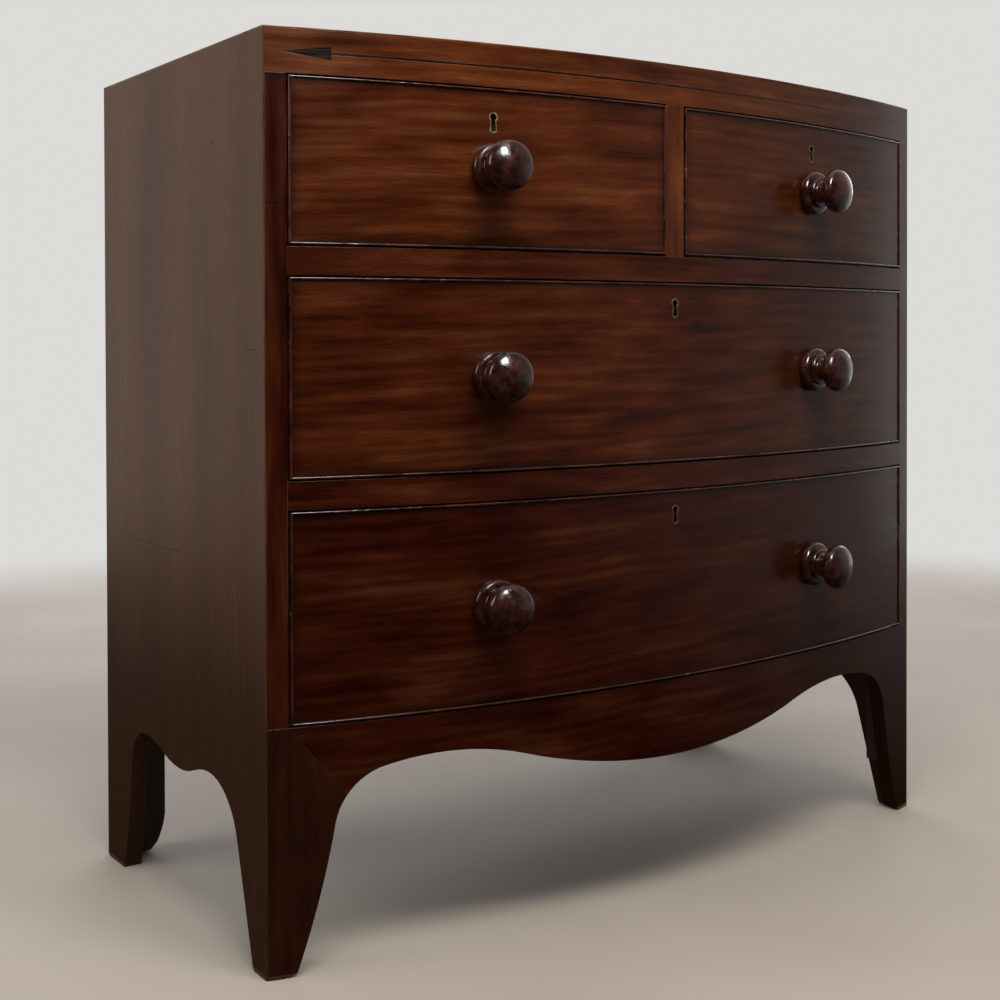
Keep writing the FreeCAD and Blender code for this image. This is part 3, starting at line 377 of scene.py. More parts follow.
def polished_mahogany(name, grain, seed, clear, limits=None, marks=(), slope=0.0, rubbed=0.5, painted_sheen_at_left=0.0):
    """French-polished mahogany: planed, its pores filled, and rubbed with shellac.

    Patches and streaks of orange and dark red run along the board and wave a little, and pores show as
    short dark dashes. The film of shellac gives a soft reflection, duller where it is rubbed. Towards the
    right of the front a greyish brown hides more of the wood, as painted sheen.

    clear is how much of the colour is kept: lower boards are given less, which is painted shade darkening
    the front towards the bottom. limits are the edges near which the wood is darker, marks are small dark
    flaws as (place, size, darkness), slope is how steeply the grain climbs, rubbed how bare the edges are,
    and the last argument how much of the painted sheen lies at the left.
    """
    finish = bpy.context.scene.chest_mahogany
    material, tree = new_material(name)
    place = grain_place(tree, grain, slope)
    patches = streaks(tree, place, finish.patch_length, finish.patch_width, seed, 2)
    clouds = streaks(tree, place, finish.cloud_length, finish.cloud_width, seed + 11, 1)
    ribbons = streaks(tree, place, finish.ribbon_length, finish.ribbon_width, seed + 3, 0)
    fibres = streaks(tree, place, finish.fibre_length, finish.fibre_width, seed + 5, 1)
    pores = streaks(tree, place, finish.pore_length, finish.pore_width, seed + 8, 0)
    # The figure is made of patches, with a share of the other noises laid over them in turn
    figure = add(tree, "ShaderNodeMix", {0: 0.28, 2: patches, 3: clouds})
    figure = add(tree, "ShaderNodeMix", {0: 0.3, 2: figure, 3: ribbons})
    figure = add(tree, "ShaderNodeMix", {0: 0.2, 2: figure, 3: fibres})
    # The painted shade darkens green and blue more than red, above all over the dark growth: the
    # last of each row says how much more
    growth = (
        (0.24, finish.shade, 1.9),
        (0.4, finish.dark, 1.8),
        (0.54, finish.body, 1.6),
        (0.74, finish.flame, 1.15),
    )
    stops = []
    for at, tint, redness in growth:
        painted_tint = (clear, clear**redness, clear ** (redness + 0.25))
        stops.append((at, [part * share for part, share in zip(tint, painted_tint)]))
    base = add(tree, "ShaderNodeValToRGB", {0: figure}, stops=stops)
    # Painted sheen: the colour turns greyish brown towards the right of the front
    painted_sheen = painted_sheen_share(tree, painted_sheen_at_left, 0.68)
    base = add(tree, "ShaderNodeMix", {0: painted_sheen, 6: base, 7: finish.painted_sheen}, data_type="RGBA")
    pore = add(tree, "ShaderNodeMapRange", {0: pores, 1: 0.62, 2: 0.76, 4: 0.32})
    base = add(tree, "ShaderNodeMix", {0: pore, 6: base, 7: finish.shade}, data_type="RGBA")
    if limits:
        # A wide, faint band that darkens the wood near the edges, and a narrow, dark one beside the bead
        # that is painted shade
        for reach, strength, tint in ((17 * MM, 0.6, finish.shade), (7 * MM, 0.95, finish.grime)):
            edge_darkening = darker_near_edges(tree, limits, reach, strength)
            base = add(tree, "ShaderNodeMix", {0: edge_darkening, 6: base, 7: tint}, data_type="RGBA")
    for mark in marks:
        flaw = spot(tree, *mark)
        base = add(tree, "ShaderNodeMix", {0: flaw, 6: base, 7: finish.grime}, data_type="RGBA")
    rounded, edge = rubbed_arris(tree, finish.arris * (0.5 + rubbed))
    base = bare_edges(tree, base, edge, ribbons, 0.1 * rubbed, min(rubbed, 1))
    sheen = add(tree, "ShaderNodeMix", {0: 0.5, 2: patches, 3: ribbons})
    roughness = add(tree, "ShaderNodeMapRange", {0: sheen, 1: 0.3, 2: 0.7, 3: 0.16, 4: 0.3})
    height = add(tree, "ShaderNodeMix", {0: 0.1, 2: clouds, 3: ribbons})
    height = add(tree, "ShaderNodeMix", {0: pore, 2: height, 3: 0.43})
    normal = add(tree, "ShaderNodeBump", {"Height": height, "Distance": 0.3 * MM, "Normal": rounded})
    shader = {"Base Color": base, "Roughness": roughness, "Normal": normal}
    shader.update({"IOR": 1.5, "Specular IOR Level": 0.32})
    shader = add(tree, "ShaderNodeBsdfPrincipled", shader)
    add(tree, "ShaderNodeOutputMaterial", {"Surface": shader})
    return material


def waxed_mahogany(name, seed, dents):
    """Mahogany planed by hand, waxed, and faded by daylight to a greyish brown.

    The upright grain is faint and even, with broad pale bands. Wax gives a wide, dull sheen. The lower
    part is darker, which is painted shade. dents are small bruises as (place, size, darkness).
    """
    finish = bpy.context.scene.chest_mahogany
    material, tree = new_material(name)
    place = grain_place(tree, SIDE_UPRIGHT)
    bands = streaks(tree, place, 600 * MM, 70 * MM, seed, 3)
    ribbons = streaks(tree, place, 200 * MM, 4 * MM, seed + 3, 3)
    fibres = streaks(tree, place, 34 * MM, 1.0 * MM, seed + 5, 1)
    pores = streaks(tree, place, finish.pore_length, finish.pore_width, seed + 8, 0)
    figure = add(tree, "ShaderNodeMix", {0: 0.4, 2: bands, 3: ribbons})
    figure = add(tree, "ShaderNodeMix", {0: 0.35, 2: figure, 3: fibres})
    stops = [(0.3, finish.side_dark), (0.68, finish.side_light)]
    base = add(tree, "ShaderNodeValToRGB", {0: figure}, stops=stops)
    pore = add(tree, "ShaderNodeMapRange", {0: pores, 1: 0.6, 2: 0.76, 4: 0.45})
    base = add(tree, "ShaderNodeMix", {0: pore, 6: base, 7: finish.grime_and_shade}, data_type="RGBA")
    # Painted shade: the sides darken below 450 mm, and most of all below 200 mm
    inputs = {0: coordinates(tree)["Z"], 1: 450 * MM, 2: 200 * MM, 4: 0.8}
    low = add(tree, "ShaderNodeMapRange", inputs, interpolation_type="SMOOTHSTEP")
    base = add(tree, "ShaderNodeMix", {0: low, 6: base, 7: finish.grime_and_shade}, data_type="RGBA")
    bruise = None
    for dent in dents:
        mark = spot(tree, *dent)
        bruise = add(tree, "ShaderNodeMath", {0: mark, 1: bruise or mark}, operation="MAXIMUM")
    base = add(tree, "ShaderNodeMix", {0: bruise, 6: base, 7: finish.grime_and_shade}, data_type="RGBA")
    rounded, edge = rubbed_arris(tree, finish.arris)
    base = bare_edges(tree, base, edge, ribbons, 0.05, 0.4)
    roughness = add(tree, "ShaderNodeMapRange", {0: ribbons, 1: 0.3, 2: 0.7, 3: 0.34, 4: 0.46})
    height = add(tree, "ShaderNodeMix", {0: 0.08, 2: bands, 3: ribbons})
    height = add(tree, "ShaderNodeMix", {0: pore, 2: height, 3: 0.3})
    height = add(tree, "ShaderNodeMix", {0: bruise, 2: height, 3: 0.0})
    normal = add(tree, "ShaderNodeBump", {"Height": height, "Distance": 0.7 * MM, "Normal": rounded})
    shader = {"Base Color": base, "Roughness": roughness, "Normal": normal}
    shader.update({"IOR": 1.5, "Specular IOR Level": 0.13})
    shader = add(tree, "ShaderNodeBsdfPrincipled", shader)
    add(tree, "ShaderNodeOutputMaterial", {"Surface": shader})
    return material


def turned_mahogany(name):
    """Mahogany turned on the lathe, polished nearly black, and handled for years.

    The head has a red cast where the polish is thin. It is glossy where the polish is whole and dull
    where fingers rub it, and small dents break up its highlights.
    """
    finish = bpy.context.scene.chest_mahogany
    material, tree = new_material(name)
    position = add(tree, "ShaderNodeTexCoord").outputs["Object"]
    clouds = add(tree, "ShaderNodeTexNoise", {"Vector": position, "Scale": 1 / (9 * MM), "Detail": 3})
    dents = add(tree, "ShaderNodeTexNoise", {"Vector": position, "Scale": 1 / (3 * MM), "Detail": 3})
    stops = [(0.38, finish.turned), (0.66, finish.turned_red)]
    base = add(tree, "ShaderNodeValToRGB", {0: clouds}, stops=stops)
    speck = add(tree, "ShaderNodeMapRange", {0: dents, 1: 0.6, 2: 0.72, 4: 0.7})
    base = add(tree, "ShaderNodeMix", {0: speck, 6: base, 7: finish.grime}, data_type="RGBA")
    roughness = add(tree, "ShaderNodeMapRange", {0: clouds, 1: 0.3, 2: 0.7, 3: 0.12, 4: 0.34})
    height = add(tree, "ShaderNodeMix", {0: 0.5, 2: clouds, 3: dents})
    normal = add(tree, "ShaderNodeBump", {"Height": height, "Distance": 0.5 * MM})
    shader = {"Base Color": base, "Roughness": roughness, "Normal": normal, "IOR": 1.5}
    shader.update({"Coat Weight": 0.55, "Coat Roughness": 0.06})
    shader = add(tree, "ShaderNodeBsdfPrincipled", shader)
    add(tree, "ShaderNodeOutputMaterial", {"Surface": shader})
    return material


def bead_mahogany(name):
    """Thin strips of mahogany, scraped to a half round and glued round the drawers.

    Dirt along them makes them darker than the fronts. Their noses are rubbed to a shine, with lighter
    wood where they are chipped.
    """
    finish = bpy.context.scene.chest_mahogany
    material, tree = new_material(name)
    position = add(tree, "ShaderNodeTexCoord").outputs["Object"]
    tone = add(tree, "ShaderNodeTexNoise", {"Vector": position, "Scale": 1 / (30 * MM), "Detail": 4})
    chips = add(tree, "ShaderNodeTexNoise", {"Vector": position, "Scale": 1 / (6 * MM), "Detail": 2})
    stops = [(0.35, finish.shade), (0.62, finish.bead)]
    base = add(tree, "ShaderNodeValToRGB", {0: tone}, stops=stops)
    bare = add(tree, "ShaderNodeMapRange", {0: chips, 1: 0.62, 2: 0.74, 4: 0.7})
    base = add(tree, "ShaderNodeMix", {0: bare, 6: base, 7: finish.flame}, data_type="RGBA")
    roughness = add(tree, "ShaderNodeMapRange", {0: tone, 1: 0.3, 2: 0.7, 3: 0.18, 4: 0.36})
    normal = add(tree, "ShaderNodeBump", {"Height": chips, "Distance": 0.15 * MM})
    shader = {"Base Color": base, "Roughness": roughness, "Normal": normal, "IOR": 1.5}
    shader.update({"Coat Weight": 0.6, "Coat Roughness": 0.2})
    shader = add(tree, "ShaderNodeBsdfPrincipled", shader)
    add(tree, "ShaderNodeOutputMaterial", {"Surface": shader})
    return material


def bare_wood(name, grain, light, dark, seed, ring, roughness, grime=0.0):
    """Oak or pine, sawn and planed and left bare, as inside and behind a case.

    Plain growth, a dry open surface and a little paler wood on the edges. ring is the width of a year's
    growth as it shows on the board, and grime how far dirt has darkened it.
    """
    finish = bpy.context.scene.chest_mahogany
    material, tree = new_material(name)
    place = grain_place(tree, grain)
    growth = streaks(tree, place, 26 * ring, ring, seed, 3)
    fibres = streaks(tree, place, 26 * MM, 0.9 * MM, seed + 2, 1)
    figure = add(tree, "ShaderNodeMix", {0: 0.3, 2: growth, 3: fibres})
    base = add(tree, "ShaderNodeValToRGB", {0: figure}, stops=[(0.38, dark), (0.62, light)])
    base = add(tree, "ShaderNodeMix", {0: grime, 6: base, 7: finish.grime_and_shade}, data_type="RGBA")
    rounded, edge = rubbed_arris(tree, 0.8 * MM)
    bare = add(tree, "ShaderNodeMath", {0: edge, 1: 0.3}, operation="MULTIPLY")
    base = add(tree, "ShaderNodeMix", {0: bare, 6: base, 7: light}, data_type="RGBA")
    rough = add(tree, "ShaderNodeMapRange", {0: fibres, 3: roughness - 0.1, 4: roughness + 0.1})
    normal = add(tree, "ShaderNodeBump", {"Height": figure, "Distance": 0.35 * MM, "Normal": rounded})
    shader = {"Base Color": base, "Roughness": rough, "Normal": normal, "IOR": 1.5}
    shader = add(tree, "ShaderNodeBsdfPrincipled", shader)
    add(tree, "ShaderNodeOutputMaterial", {"Surface": shader})
    return material


def polished_ebony(name):
    """Ebony sawn to a thin line, glued into a groove and polished level with the frieze.

    Nearly black, and lost to the right under a brown that stands in for the sheen on the frieze: painted
    sheen.
    """
    fittings = bpy.context.scene.chest_fittings
    material, tree = new_material(name)
    place = grain_place(tree, FRONT_ACROSS)
    fibres = streaks(tree, place, 30 * MM, 1.2 * MM, 4, 2)
    stops = [(0.4, fittings.ebony), (0.7, fittings.ebony_faded)]
    base = add(tree, "ShaderNodeValToRGB", {0: fibres}, stops=stops)
    # Painted sheen: towards the right the line turns to the brown of the frieze
    painted_tint = [0.55 * part for part in bpy.context.scene.chest_mahogany.body]
    base = add(tree, "ShaderNodeMix", {0: painted_sheen_share(tree, 0, 0.9), 6: base, 7: painted_tint}, data_type="RGBA")
    roughness = add(tree, "ShaderNodeMapRange", {0: fibres, 3: 0.18, 4: 0.32})
    normal = add(tree, "ShaderNodeBump", {"Height": fibres, "Distance": 0.06 * MM})
    shader = {"Base Color": base, "Roughness": roughness, "Normal": normal}
    shader.update({"IOR": 1.5, "Specular IOR Level": 0.3})
    shader = add(tree, "ShaderNodeBsdfPrincipled", shader)
    add(tree, "ShaderNodeOutputMaterial", {"Surface": shader})
    return material


def old_metal(name, clean, dull, bright):
    """Brass or steel, cast or forged and filed, left to dull. bright is the share that stays clean."""
    material, tree = new_material(name)
    position = add(tree, "ShaderNodeTexCoord").outputs["Object"]
    clouds = add(tree, "ShaderNodeTexNoise", {"Vector": position, "Scale": 1 / (3 * MM), "Detail": 3})
    clear = add(tree, "ShaderNodeMapRange", {0: clouds, 1: 0.62 - bright, 2: 0.9 - bright})
    base = add(tree, "ShaderNodeMix", {0: clear, 6: dull, 7: clean}, data_type="RGBA")
    roughness = add(tree, "ShaderNodeMapRange", {0: clear, 3: 0.6, 4: 0.42})
    normal = add(tree, "ShaderNodeBump", {"Height": clouds, "Distance": 0.1 * MM})
    shader = {"Base Color": base, "Roughness": roughness, "Normal": normal, "Metallic": 1.0}
    shader = add(tree, "ShaderNodeBsdfPrincipled", shader)
    add(tree, "ShaderNodeOutputMaterial", {"Surface": shader})
    return material


# Shapes


def bow_radius():
    """Radius of the bow, from the chest's width and the bow's rise."""
    half = CAD_BOX[1][0]
    rise = bpy.context.scene.chest_beads.bow_rise
    return (half**2 + rise**2) / (2 * rise)


def bow_y(x):
    """How far back the bowed front lies at x."""
    radius = bow_radius()
    return BOW_CROWN + radius - math.sqrt(radius**2 - x**2)


def new_piece(name, shape, material, body, replaced, sharp_angle):
    """Add a smooth-shaded piece in place of a CAD node, riding on a body."""
    bmesh.ops.recalc_face_normals(shape, faces=shape.faces)
    mesh = bpy.data.meshes.new(name)
    shape.to_mesh(mesh)
    shape.free()
    mesh.shade_smooth()
    mesh.set_sharp_from_angle(angle=math.radians(sharp_angle))
    mesh.materials.append(material)
    piece = bpy.data.objects.new(name, mesh)
    bpy.context.scene.collection.objects.link(piece)
    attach(piece, body)
    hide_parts(replaced)


def turned_arc(centre, radius, first, last, steps=14):
    """Points of an arc as (radius, distance ahead), between two angles from straight ahead."""
    points = []
    for step in range(steps + 1):
        angle = first + (last - first) * step / steps
        points.append((centre[0] + radius * math.sin(angle), centre[1] + radius * math.cos(angle)))
    return points


def swelling(radius, start, thickness, bulge):
    """Points of a moulding that swells by bulge between two equal radii, from its front to its back."""
    arc_radius = (thickness**2 / 4 + bulge**2) / (2 * bulge)
    reach = math.asin(thickness / 2 / arc_radius)
    centre = (radius + bulge - arc_radius, start + thickness / 2)
    return turned_arc(centre, arc_radius, math.pi / 2 - reach, math.pi / 2 + reach)


def knob_profile(sizes):
    """Half section of a knob as (radius, distance ahead of the drawer), from its tip to the shank's end."""
    half, rim = sizes.head_half, sizes.rim_radius
    dome = (sizes.head_radius**2 + half**2 - 2 * sizes.head_radius * rim) / (2 * (half - rim))
    offset = dome - half
    blend = math.atan((sizes.head_radius - rim) / offset)
    neck = math.asin(sizes.neck_radius / dome)
    collar_front = sizes.base_thickness + sizes.collar_thickness
    cove = sizes.cove_radius
    points = turned_arc((0, sizes.head_centre - offset), dome, 0, blend)
    points += turned_arc((sizes.head_radius - rim, sizes.head_centre), rim, blend, math.pi - blend)[1:]
    points += turned_arc((0, sizes.head_centre + offset), dome, math.pi - blend, math.pi - neck, 6)[1:]
    points += turned_arc((sizes.neck_radius + cove, collar_front + cove), cove, 1.5 * math.pi, math.pi, 6)
    points += swelling(sizes.collar_radius, sizes.base_thickness, sizes.collar_thickness, sizes.collar_bulge)
    points += swelling(sizes.foot_radius, 0, sizes.base_thickness, sizes.base_bulge)
    points += [(sizes.shank_radius, 0), (sizes.shank_radius, -sizes.front_thickness)]
    return points + [(0, -sizes.front_thickness)]


def knob_shape(seed):
    """Turned knob, pointing along -Y from the drawer's face, with rubbed and dented places."""
    sizes = bpy.context.scene.chest_knobs
    shape = bmesh.new()
    rings = []
    for radius, ahead in knob_profile(sizes):
        if radius < 1e-6:
            rings.append([shape.verts.new((0, -ahead, 0))])
            continue
        ring = []
        for step in range(sizes.steps):
            angle = 2 * math.pi * step / sizes.steps
            spot_at = Vector((radius * math.cos(angle), -ahead, radius * math.sin(angle)))
            dent = 0.5 + 0.5 * noise.noise(spot_at / (7 * MM) + Vector((seed, 0, 0)))
            shrink = 1 - sizes.wear * dent / max(radius, 3 * MM) if ahead > 0 else 1
            ring.append(shape.verts.new((spot_at.x * shrink, spot_at.y, spot_at.z * shrink)))
        rings.append(ring)
    for lower, upper in zip(rings, rings[1:]):
        count = max(len(lower), len(upper))
        for step in range(count):
            after = (step + 1) % count
            corners = [
                lower[step % len(lower)],
                lower[after % len(lower)],
                upper[after % len(upper)],
                upper[step % len(upper)],
            ]
            shape.faces.new(list(dict.fromkeys(corners)))
    return shape


def bead_section(sizes):
    """Section of a cockbead as (distance inside the front's edge, distance behind its nose)."""
    outer, inner = sizes.worn_side, sizes.thickness
    half = (inner - outer) / 2
    back = sizes.depth + sizes.proud
    nose = [math.pi * step / 10 for step in range(11)]
    rounded = [(outer + half - half * math.cos(turn), half - half * math.sin(turn)) for turn in nose]
    return [(outer, back), *rounded, (inner, back)]


def bead_strip(shape, sizes, limits, place, seed):
    """Add one strip of cockbead, mitred at both ends and chipped here and there."""
    left, right, bottom, top = limits
    lying = place in ("top", "bottom")
    span = (right - left) if lying else (top - bottom)
    chance = random.Random(seed)
    chips = [
        (chance.random() * span, chance.uniform(2, 7) * MM, chance.uniform(0.2, 1) * sizes.chip)
        for _ in range(round(span / sizes.chip_spacing))
    ]
    count = round(span / sizes.step)
    rows = []
    for index in range(count + 1):
        share = index / count
        dips = [depth * (1 - ((share * span - at) / reach) ** 2) for at, reach, depth in chips]
        chip = max(dips, default=0)
        row = []
        for across, behind in bead_section(sizes):
            if lying:
                x = left + across + share * (right - left - 2 * across)
                z = top - across if place == "top" else bottom + across
            else:
                x = left + across if place == "left" else right - across
                z = bottom + across + share * (top - bottom - 2 * across)
            stray = sizes.wander * (0.5 + 0.5 * noise.noise(Vector((x, z, seed)) / (60 * MM)))
            worn = max(chip, 0) if behind < sizes.thickness / 2 else 0
            row.append(shape.verts.new((x, bow_y(x) - sizes.proud + behind + stray + worn, z)))
        rows.append(row)
    for before, after in zip(rows, rows[1:]):
        for i, corner in enumerate(before):
            shape.faces.new((corner, before[i - 1], after[i - 1], after[i]))
    shape.faces.new(rows[0])
    shape.faces.new(rows[-1])


# Operators


class CHEST_OT_polish_front(bpy.types.Operator):
    """Polish the boards of the case that face the front"""

    bl_idname = "chest.polish_front"
    bl_label = "Polish the front of the case"

    def execute(self, context):
        # Each board's name, node, grain, seed and clearness, and what sets its polish apart. A lower
        # clearness is painted shade: it darkens the lower boards
        boards = (
            ("frieze", "frieze_rail", FRONT_ACROSS, 11, 0.97, {"rubbed": 0.2}),
            ("upper_rail", "upper_rail", FRONT_ACROSS, 23, 0.56, {}),
            ("lower_rail", "lower_rail", FRONT_ACROSS, 31, 0.5, {}),
            ("apron", "front_apron", FRONT_ACROSS, 47, 0.38, {"slope": 1, "rubbed": 0.2}),
            ("top", "top_board", LYING_ACROSS, 83, 0.72, {"rubbed": 1.5}),
            ("muntin", "centre_muntin", FRONT_UPRIGHT, 61, 0.9, {}),
        )
        for board, node, grain, seed, clear, more in boards:
            dress(polished_mahogany(f"polished_mahogany_{board}", grain, seed, clear, **more), node)
        # The stiles are pieced, and the joint shows as a thin dark line, given by its place, its size along
        # each axis and its darkness. The wood darkens near the upper end alone, in a faint wide band and a
        # narrow band of painted shade, as the foot carries on below
        low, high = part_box("left_stile")
        joint = [((0, 0, 726 * MM), (0, 0, 1.6 * MM), 0.7)]
        limits = {"Z": (low.z - 100 * MM, high.z)}
        # The low clearness of the stile and of the foot is painted shade, and the foot carries half of the
        # painted sheen from its left end
        stile = polished_mahogany("polished_mahogany_stile", FRONT_UPRIGHT, 59, 0.48, limits, joint)
        dress(stile, "left_stile", "right_stile")
        foot = polished_mahogany("polished_mahogany_foot", FRONT_UPRIGHT, 73, 0.3, rubbed=0.2, painted_sheen_at_left=0.5)
        dress(foot, "left_front_foot", "right_front_foot")
        return {"FINISHED"}


class CHEST_OT_wax_sides(bpy.types.Operator):
    """Wax the two sides, with the small bruises of long use"""

    bl_idname = "chest.wax_sides"
    bl_label = "Wax the sides"

    def execute(self, context):
        # Place, size along each axis and darkness of each bruise
        dents = [
            ((0, -0.048, 0.793), (0, 12 * MM, 3 * MM), 0.8),
            ((0, 0.213, 0.763), (0, 6 * MM, 9 * MM), 0.6),
            ((0, 0.098, 0.716), (0, 8 * MM, 3 * MM), 0.8),
            ((0, -0.076, 0.725), (0, 3 * MM, 3 * MM), 0.8),
            ((0, -0.13, 0.589), (0, 36 * MM, 1.5 * MM), 0.6),
            ((0, 0.1, 0.377), (0, 150 * MM, 2 * MM), 0.35),
        ]
        dress(waxed_mahogany("waxed_mahogany_side", 7, dents), "left_side", "right_side")
        return {"FINISHED"}


class CHEST_OT_polish_drawers(bpy.types.Operator):
    """Polish the four drawer fronts, each with a figure of its own"""

    bl_idname = "chest.polish_drawers"
    bl_label = "Polish the drawer fronts"

    def execute(self, context):
        # Place, size along each axis and darkness
        crack = [((-0.296, 0, 0.76), (90 * MM, 0, 1.4 * MM), 0.55)]
        knot = [((0.033, 0, 0.612), (9 * MM, 0, 12 * MM), 0.75)]
        # Each drawer's seed, clearness, slope of the grain in degrees, and flaws. The clearness is painted
        # shade: the lower the drawer, the darker
        figures = {
            "left_short_drawer": (101, 0.78, 2.0, crack),
            "right_short_drawer": (127, 0.8, 0.0, ()),
            "middle_drawer": (139, 0.66, 1.5, knot),
            "bottom_drawer": (151, 0.42, 2.0, ()),
        }
        for drawer, (seed, clear, slope, marks) in figures.items():
            low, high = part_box(f"{drawer}_front")
            limits = {"X": (low.x, high.x), "Z": (low.z, high.z)}
            name = f"figured_mahogany_{drawer}"
            wood = polished_mahogany(name, FRONT_ACROSS, seed, clear, limits, marks, slope)
            dress(wood, f"{drawer}_front")
        return {"FINISHED"}


class CHEST_OT_inlay_stringing(bpy.types.Operator):
    """Finish the dark line and arrowheads let into the frieze"""

    bl_idname = "chest.inlay_stringing"
    bl_label = "Inlay the stringing"

    def execute(self, context):
        dress(polished_ebony("polished_ebony_stringing"), "frieze_stringing")
        return {"FINISHED"}


class CHEST_OT_lay_cockbeads(bpy.types.Operator):
    """Lay the half-round cockbeads round the drawer fronts"""

    bl_idname = "chest.lay_cockbeads"
    bl_label = "Lay the cockbeads"

    def execute(self, context):
        sizes = context.scene.chest_beads
        material = bead_mahogany("scraped_mahogany_bead")
        for number, drawer in enumerate(DRAWERS):
            low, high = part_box(f"{drawer}_front")
            limits = (low.x, high.x, low.z, high.z)
            shape = bmesh.new()
            for strip, place in enumerate(("top", "bottom", "left", "right")):
                bead_strip(shape, sizes, limits, place, 10 * number + strip)
            replaced = f"{drawer}_cockbead"
            new_piece(f"{drawer}_bead", shape, material, drawer, replaced, sharp_angle=50)
        return {"FINISHED"}


class CHEST_OT_turn_knobs(bpy.types.Operator):
    """Turn the six knobs and set them on the drawer fronts"""

    bl_idname = "chest.turn_knobs"
    bl_label = "Turn the knobs"

    def execute(self, context):
        sizes = context.scene.chest_knobs
        material = turned_mahogany("turned_mahogany_knob")
        places = {
            "left_short_drawer": ("left_short_drawer_knob", (-1,)),
            "right_short_drawer": ("right_short_drawer_knob", (1,)),
            "middle_drawer": ("middle_drawer_knobs", (-1, 1)),
            "bottom_drawer": ("bottom_drawer_knobs", (-1, 1)),
        }
        for number, (drawer, (node, sides)) in enumerate(places.items()):
            low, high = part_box(f"{drawer}_front")
            for side in sides:
                x = side * sizes.offset
                shape = knob_shape(2 * number + side)
                seat = Matrix.Translation((x, bow_y(x), (low.z + high.z) / 2))
                turn = Matrix.Rotation(math.asin(x / bow_radius()), 4, "Z")
                bmesh.ops.transform(shape, matrix=seat @ turn, verts=shape.verts)
                name = f"{drawer}_turned_knob_{'left' if side < 0 else 'right'}"
                new_piece(name, shape, material, drawer, node, sharp_angle=35)
        return {"FINISHED"}


class CHEST_OT_line_drawers(bpy.types.Operator):
    """Finish the oak sides, backs and bottoms of the drawers"""

    bl_idname = "chest.line_drawers"
    bl_label = "Line the drawers"

    def execute(self, context):
        oak = context.scene.chest_fittings.oak, context.scene.chest_fittings.oak_dark
        # The last three are the seed, the width of a year's growth and the roughness
        side = bare_wood("planed_oak_side", SIDE_ACROSS, *oak, 3, 7 * MM, 0.55)
        back = bare_wood("planed_oak_back", FRONT_ACROSS, *oak, 13, 7 * MM, 0.55)
        bottom = bare_wood("planed_oak_bottom", LYING_ACROSS, *oak, 17, 10 * MM, 0.55)
        for drawer in DRAWERS:
            dress(side, f"{drawer}_left_side", f"{drawer}_right_side")
            dress(back, f"{drawer}_back")
            dress(bottom, f"{drawer}_bottom")
        return {"FINISHED"}


class CHEST_OT_board_inside(bpy.types.Operator):
    """Finish the softwood inside, behind and under the case"""

    bl_idname = "chest.board_inside"
    bl_label = "Board the inside"

    def execute(self, context):
        pine = context.scene.chest_fittings.pine, context.scene.chest_fittings.pine_dark
        # After the colours: seed, width of a year's growth, roughness and grime
        dress(bare_wood("sawn_pine_back", FRONT_UPRIGHT, *pine, 5, 12 * MM, 0.65, 0.25), "back_boards")
        dress(bare_wood("sawn_pine_bottom", LYING_ACROSS, *pine, 9, 12 * MM, 0.65, 0.4), "bottom_board")
        runner = bare_wood("planed_pine_runner", LYING_DEEP, *pine, 19, 8 * MM, 0.6, 0.15)
        dress(runner, "drawer_runners", "drawer_kickers", "drawer_stops")
        dress(bare_wood("sawn_pine_block", FRONT_UPRIGHT, *pine, 29, 8 * MM, 0.65, 0.9), "glue_blocks")
        bracket = bare_wood("stained_pine_bracket", FRONT_UPRIGHT, *pine, 37, 8 * MM, 0.6, 0.85)
        dress(bracket, "rear_foot_brackets")
        return {"FINISHED"}


class CHEST_OT_fit_locks(bpy.types.Operator):
    """Finish the keyhole threads, the locks and their bolts"""

    bl_idname = "chest.fit_locks"
    bl_label = "Fit the locks"

    def execute(self, context):
        fittings = context.scene.chest_fittings
        thread = old_metal("dulled_brass_thread", fittings.brass, fittings.tarnish, 0.2)
        case = old_metal("filed_brass_lock", fittings.brass, fittings.tarnish, 0.3)
        bolt = old_metal("filed_steel_bolt", fittings.steel, fittings.tarnish, 0.35)
        for drawer in DRAWERS:
            dress(thread, f"{drawer}_escutcheon")
            dress(case, f"{drawer}_lock_case")
            dress(bolt, f"{drawer}_lock_bolt")
        return {"FINISHED"}


class CHEST_OT_set_stage(bpy.types.Operator):
    """Set the floor, the glowing sheet seen in the polish, the soft lamps and the camera"""

    bl_idname = "chest.set_stage"
    bl_label = "Set the stage"

    def execute(self, context):
        stage = context.scene.chest_stage
        lay_floor(stage)
        hang_glowing_card(stage)
        light_room(context.scene, stage)
        place_camera(context.scene, stage)
        return {"FINISHED"}


# Stage


def stage_object(name, shape, material):
    """Add a stage piece."""
    mesh = bpy.data.meshes.new(name)
    shape.to_mesh(mesh)
    shape.free()
    mesh.materials.append(material)
    thing = bpy.data.objects.new(name, mesh)
    bpy.context.scene.collection.objects.link(thing)
    return thing


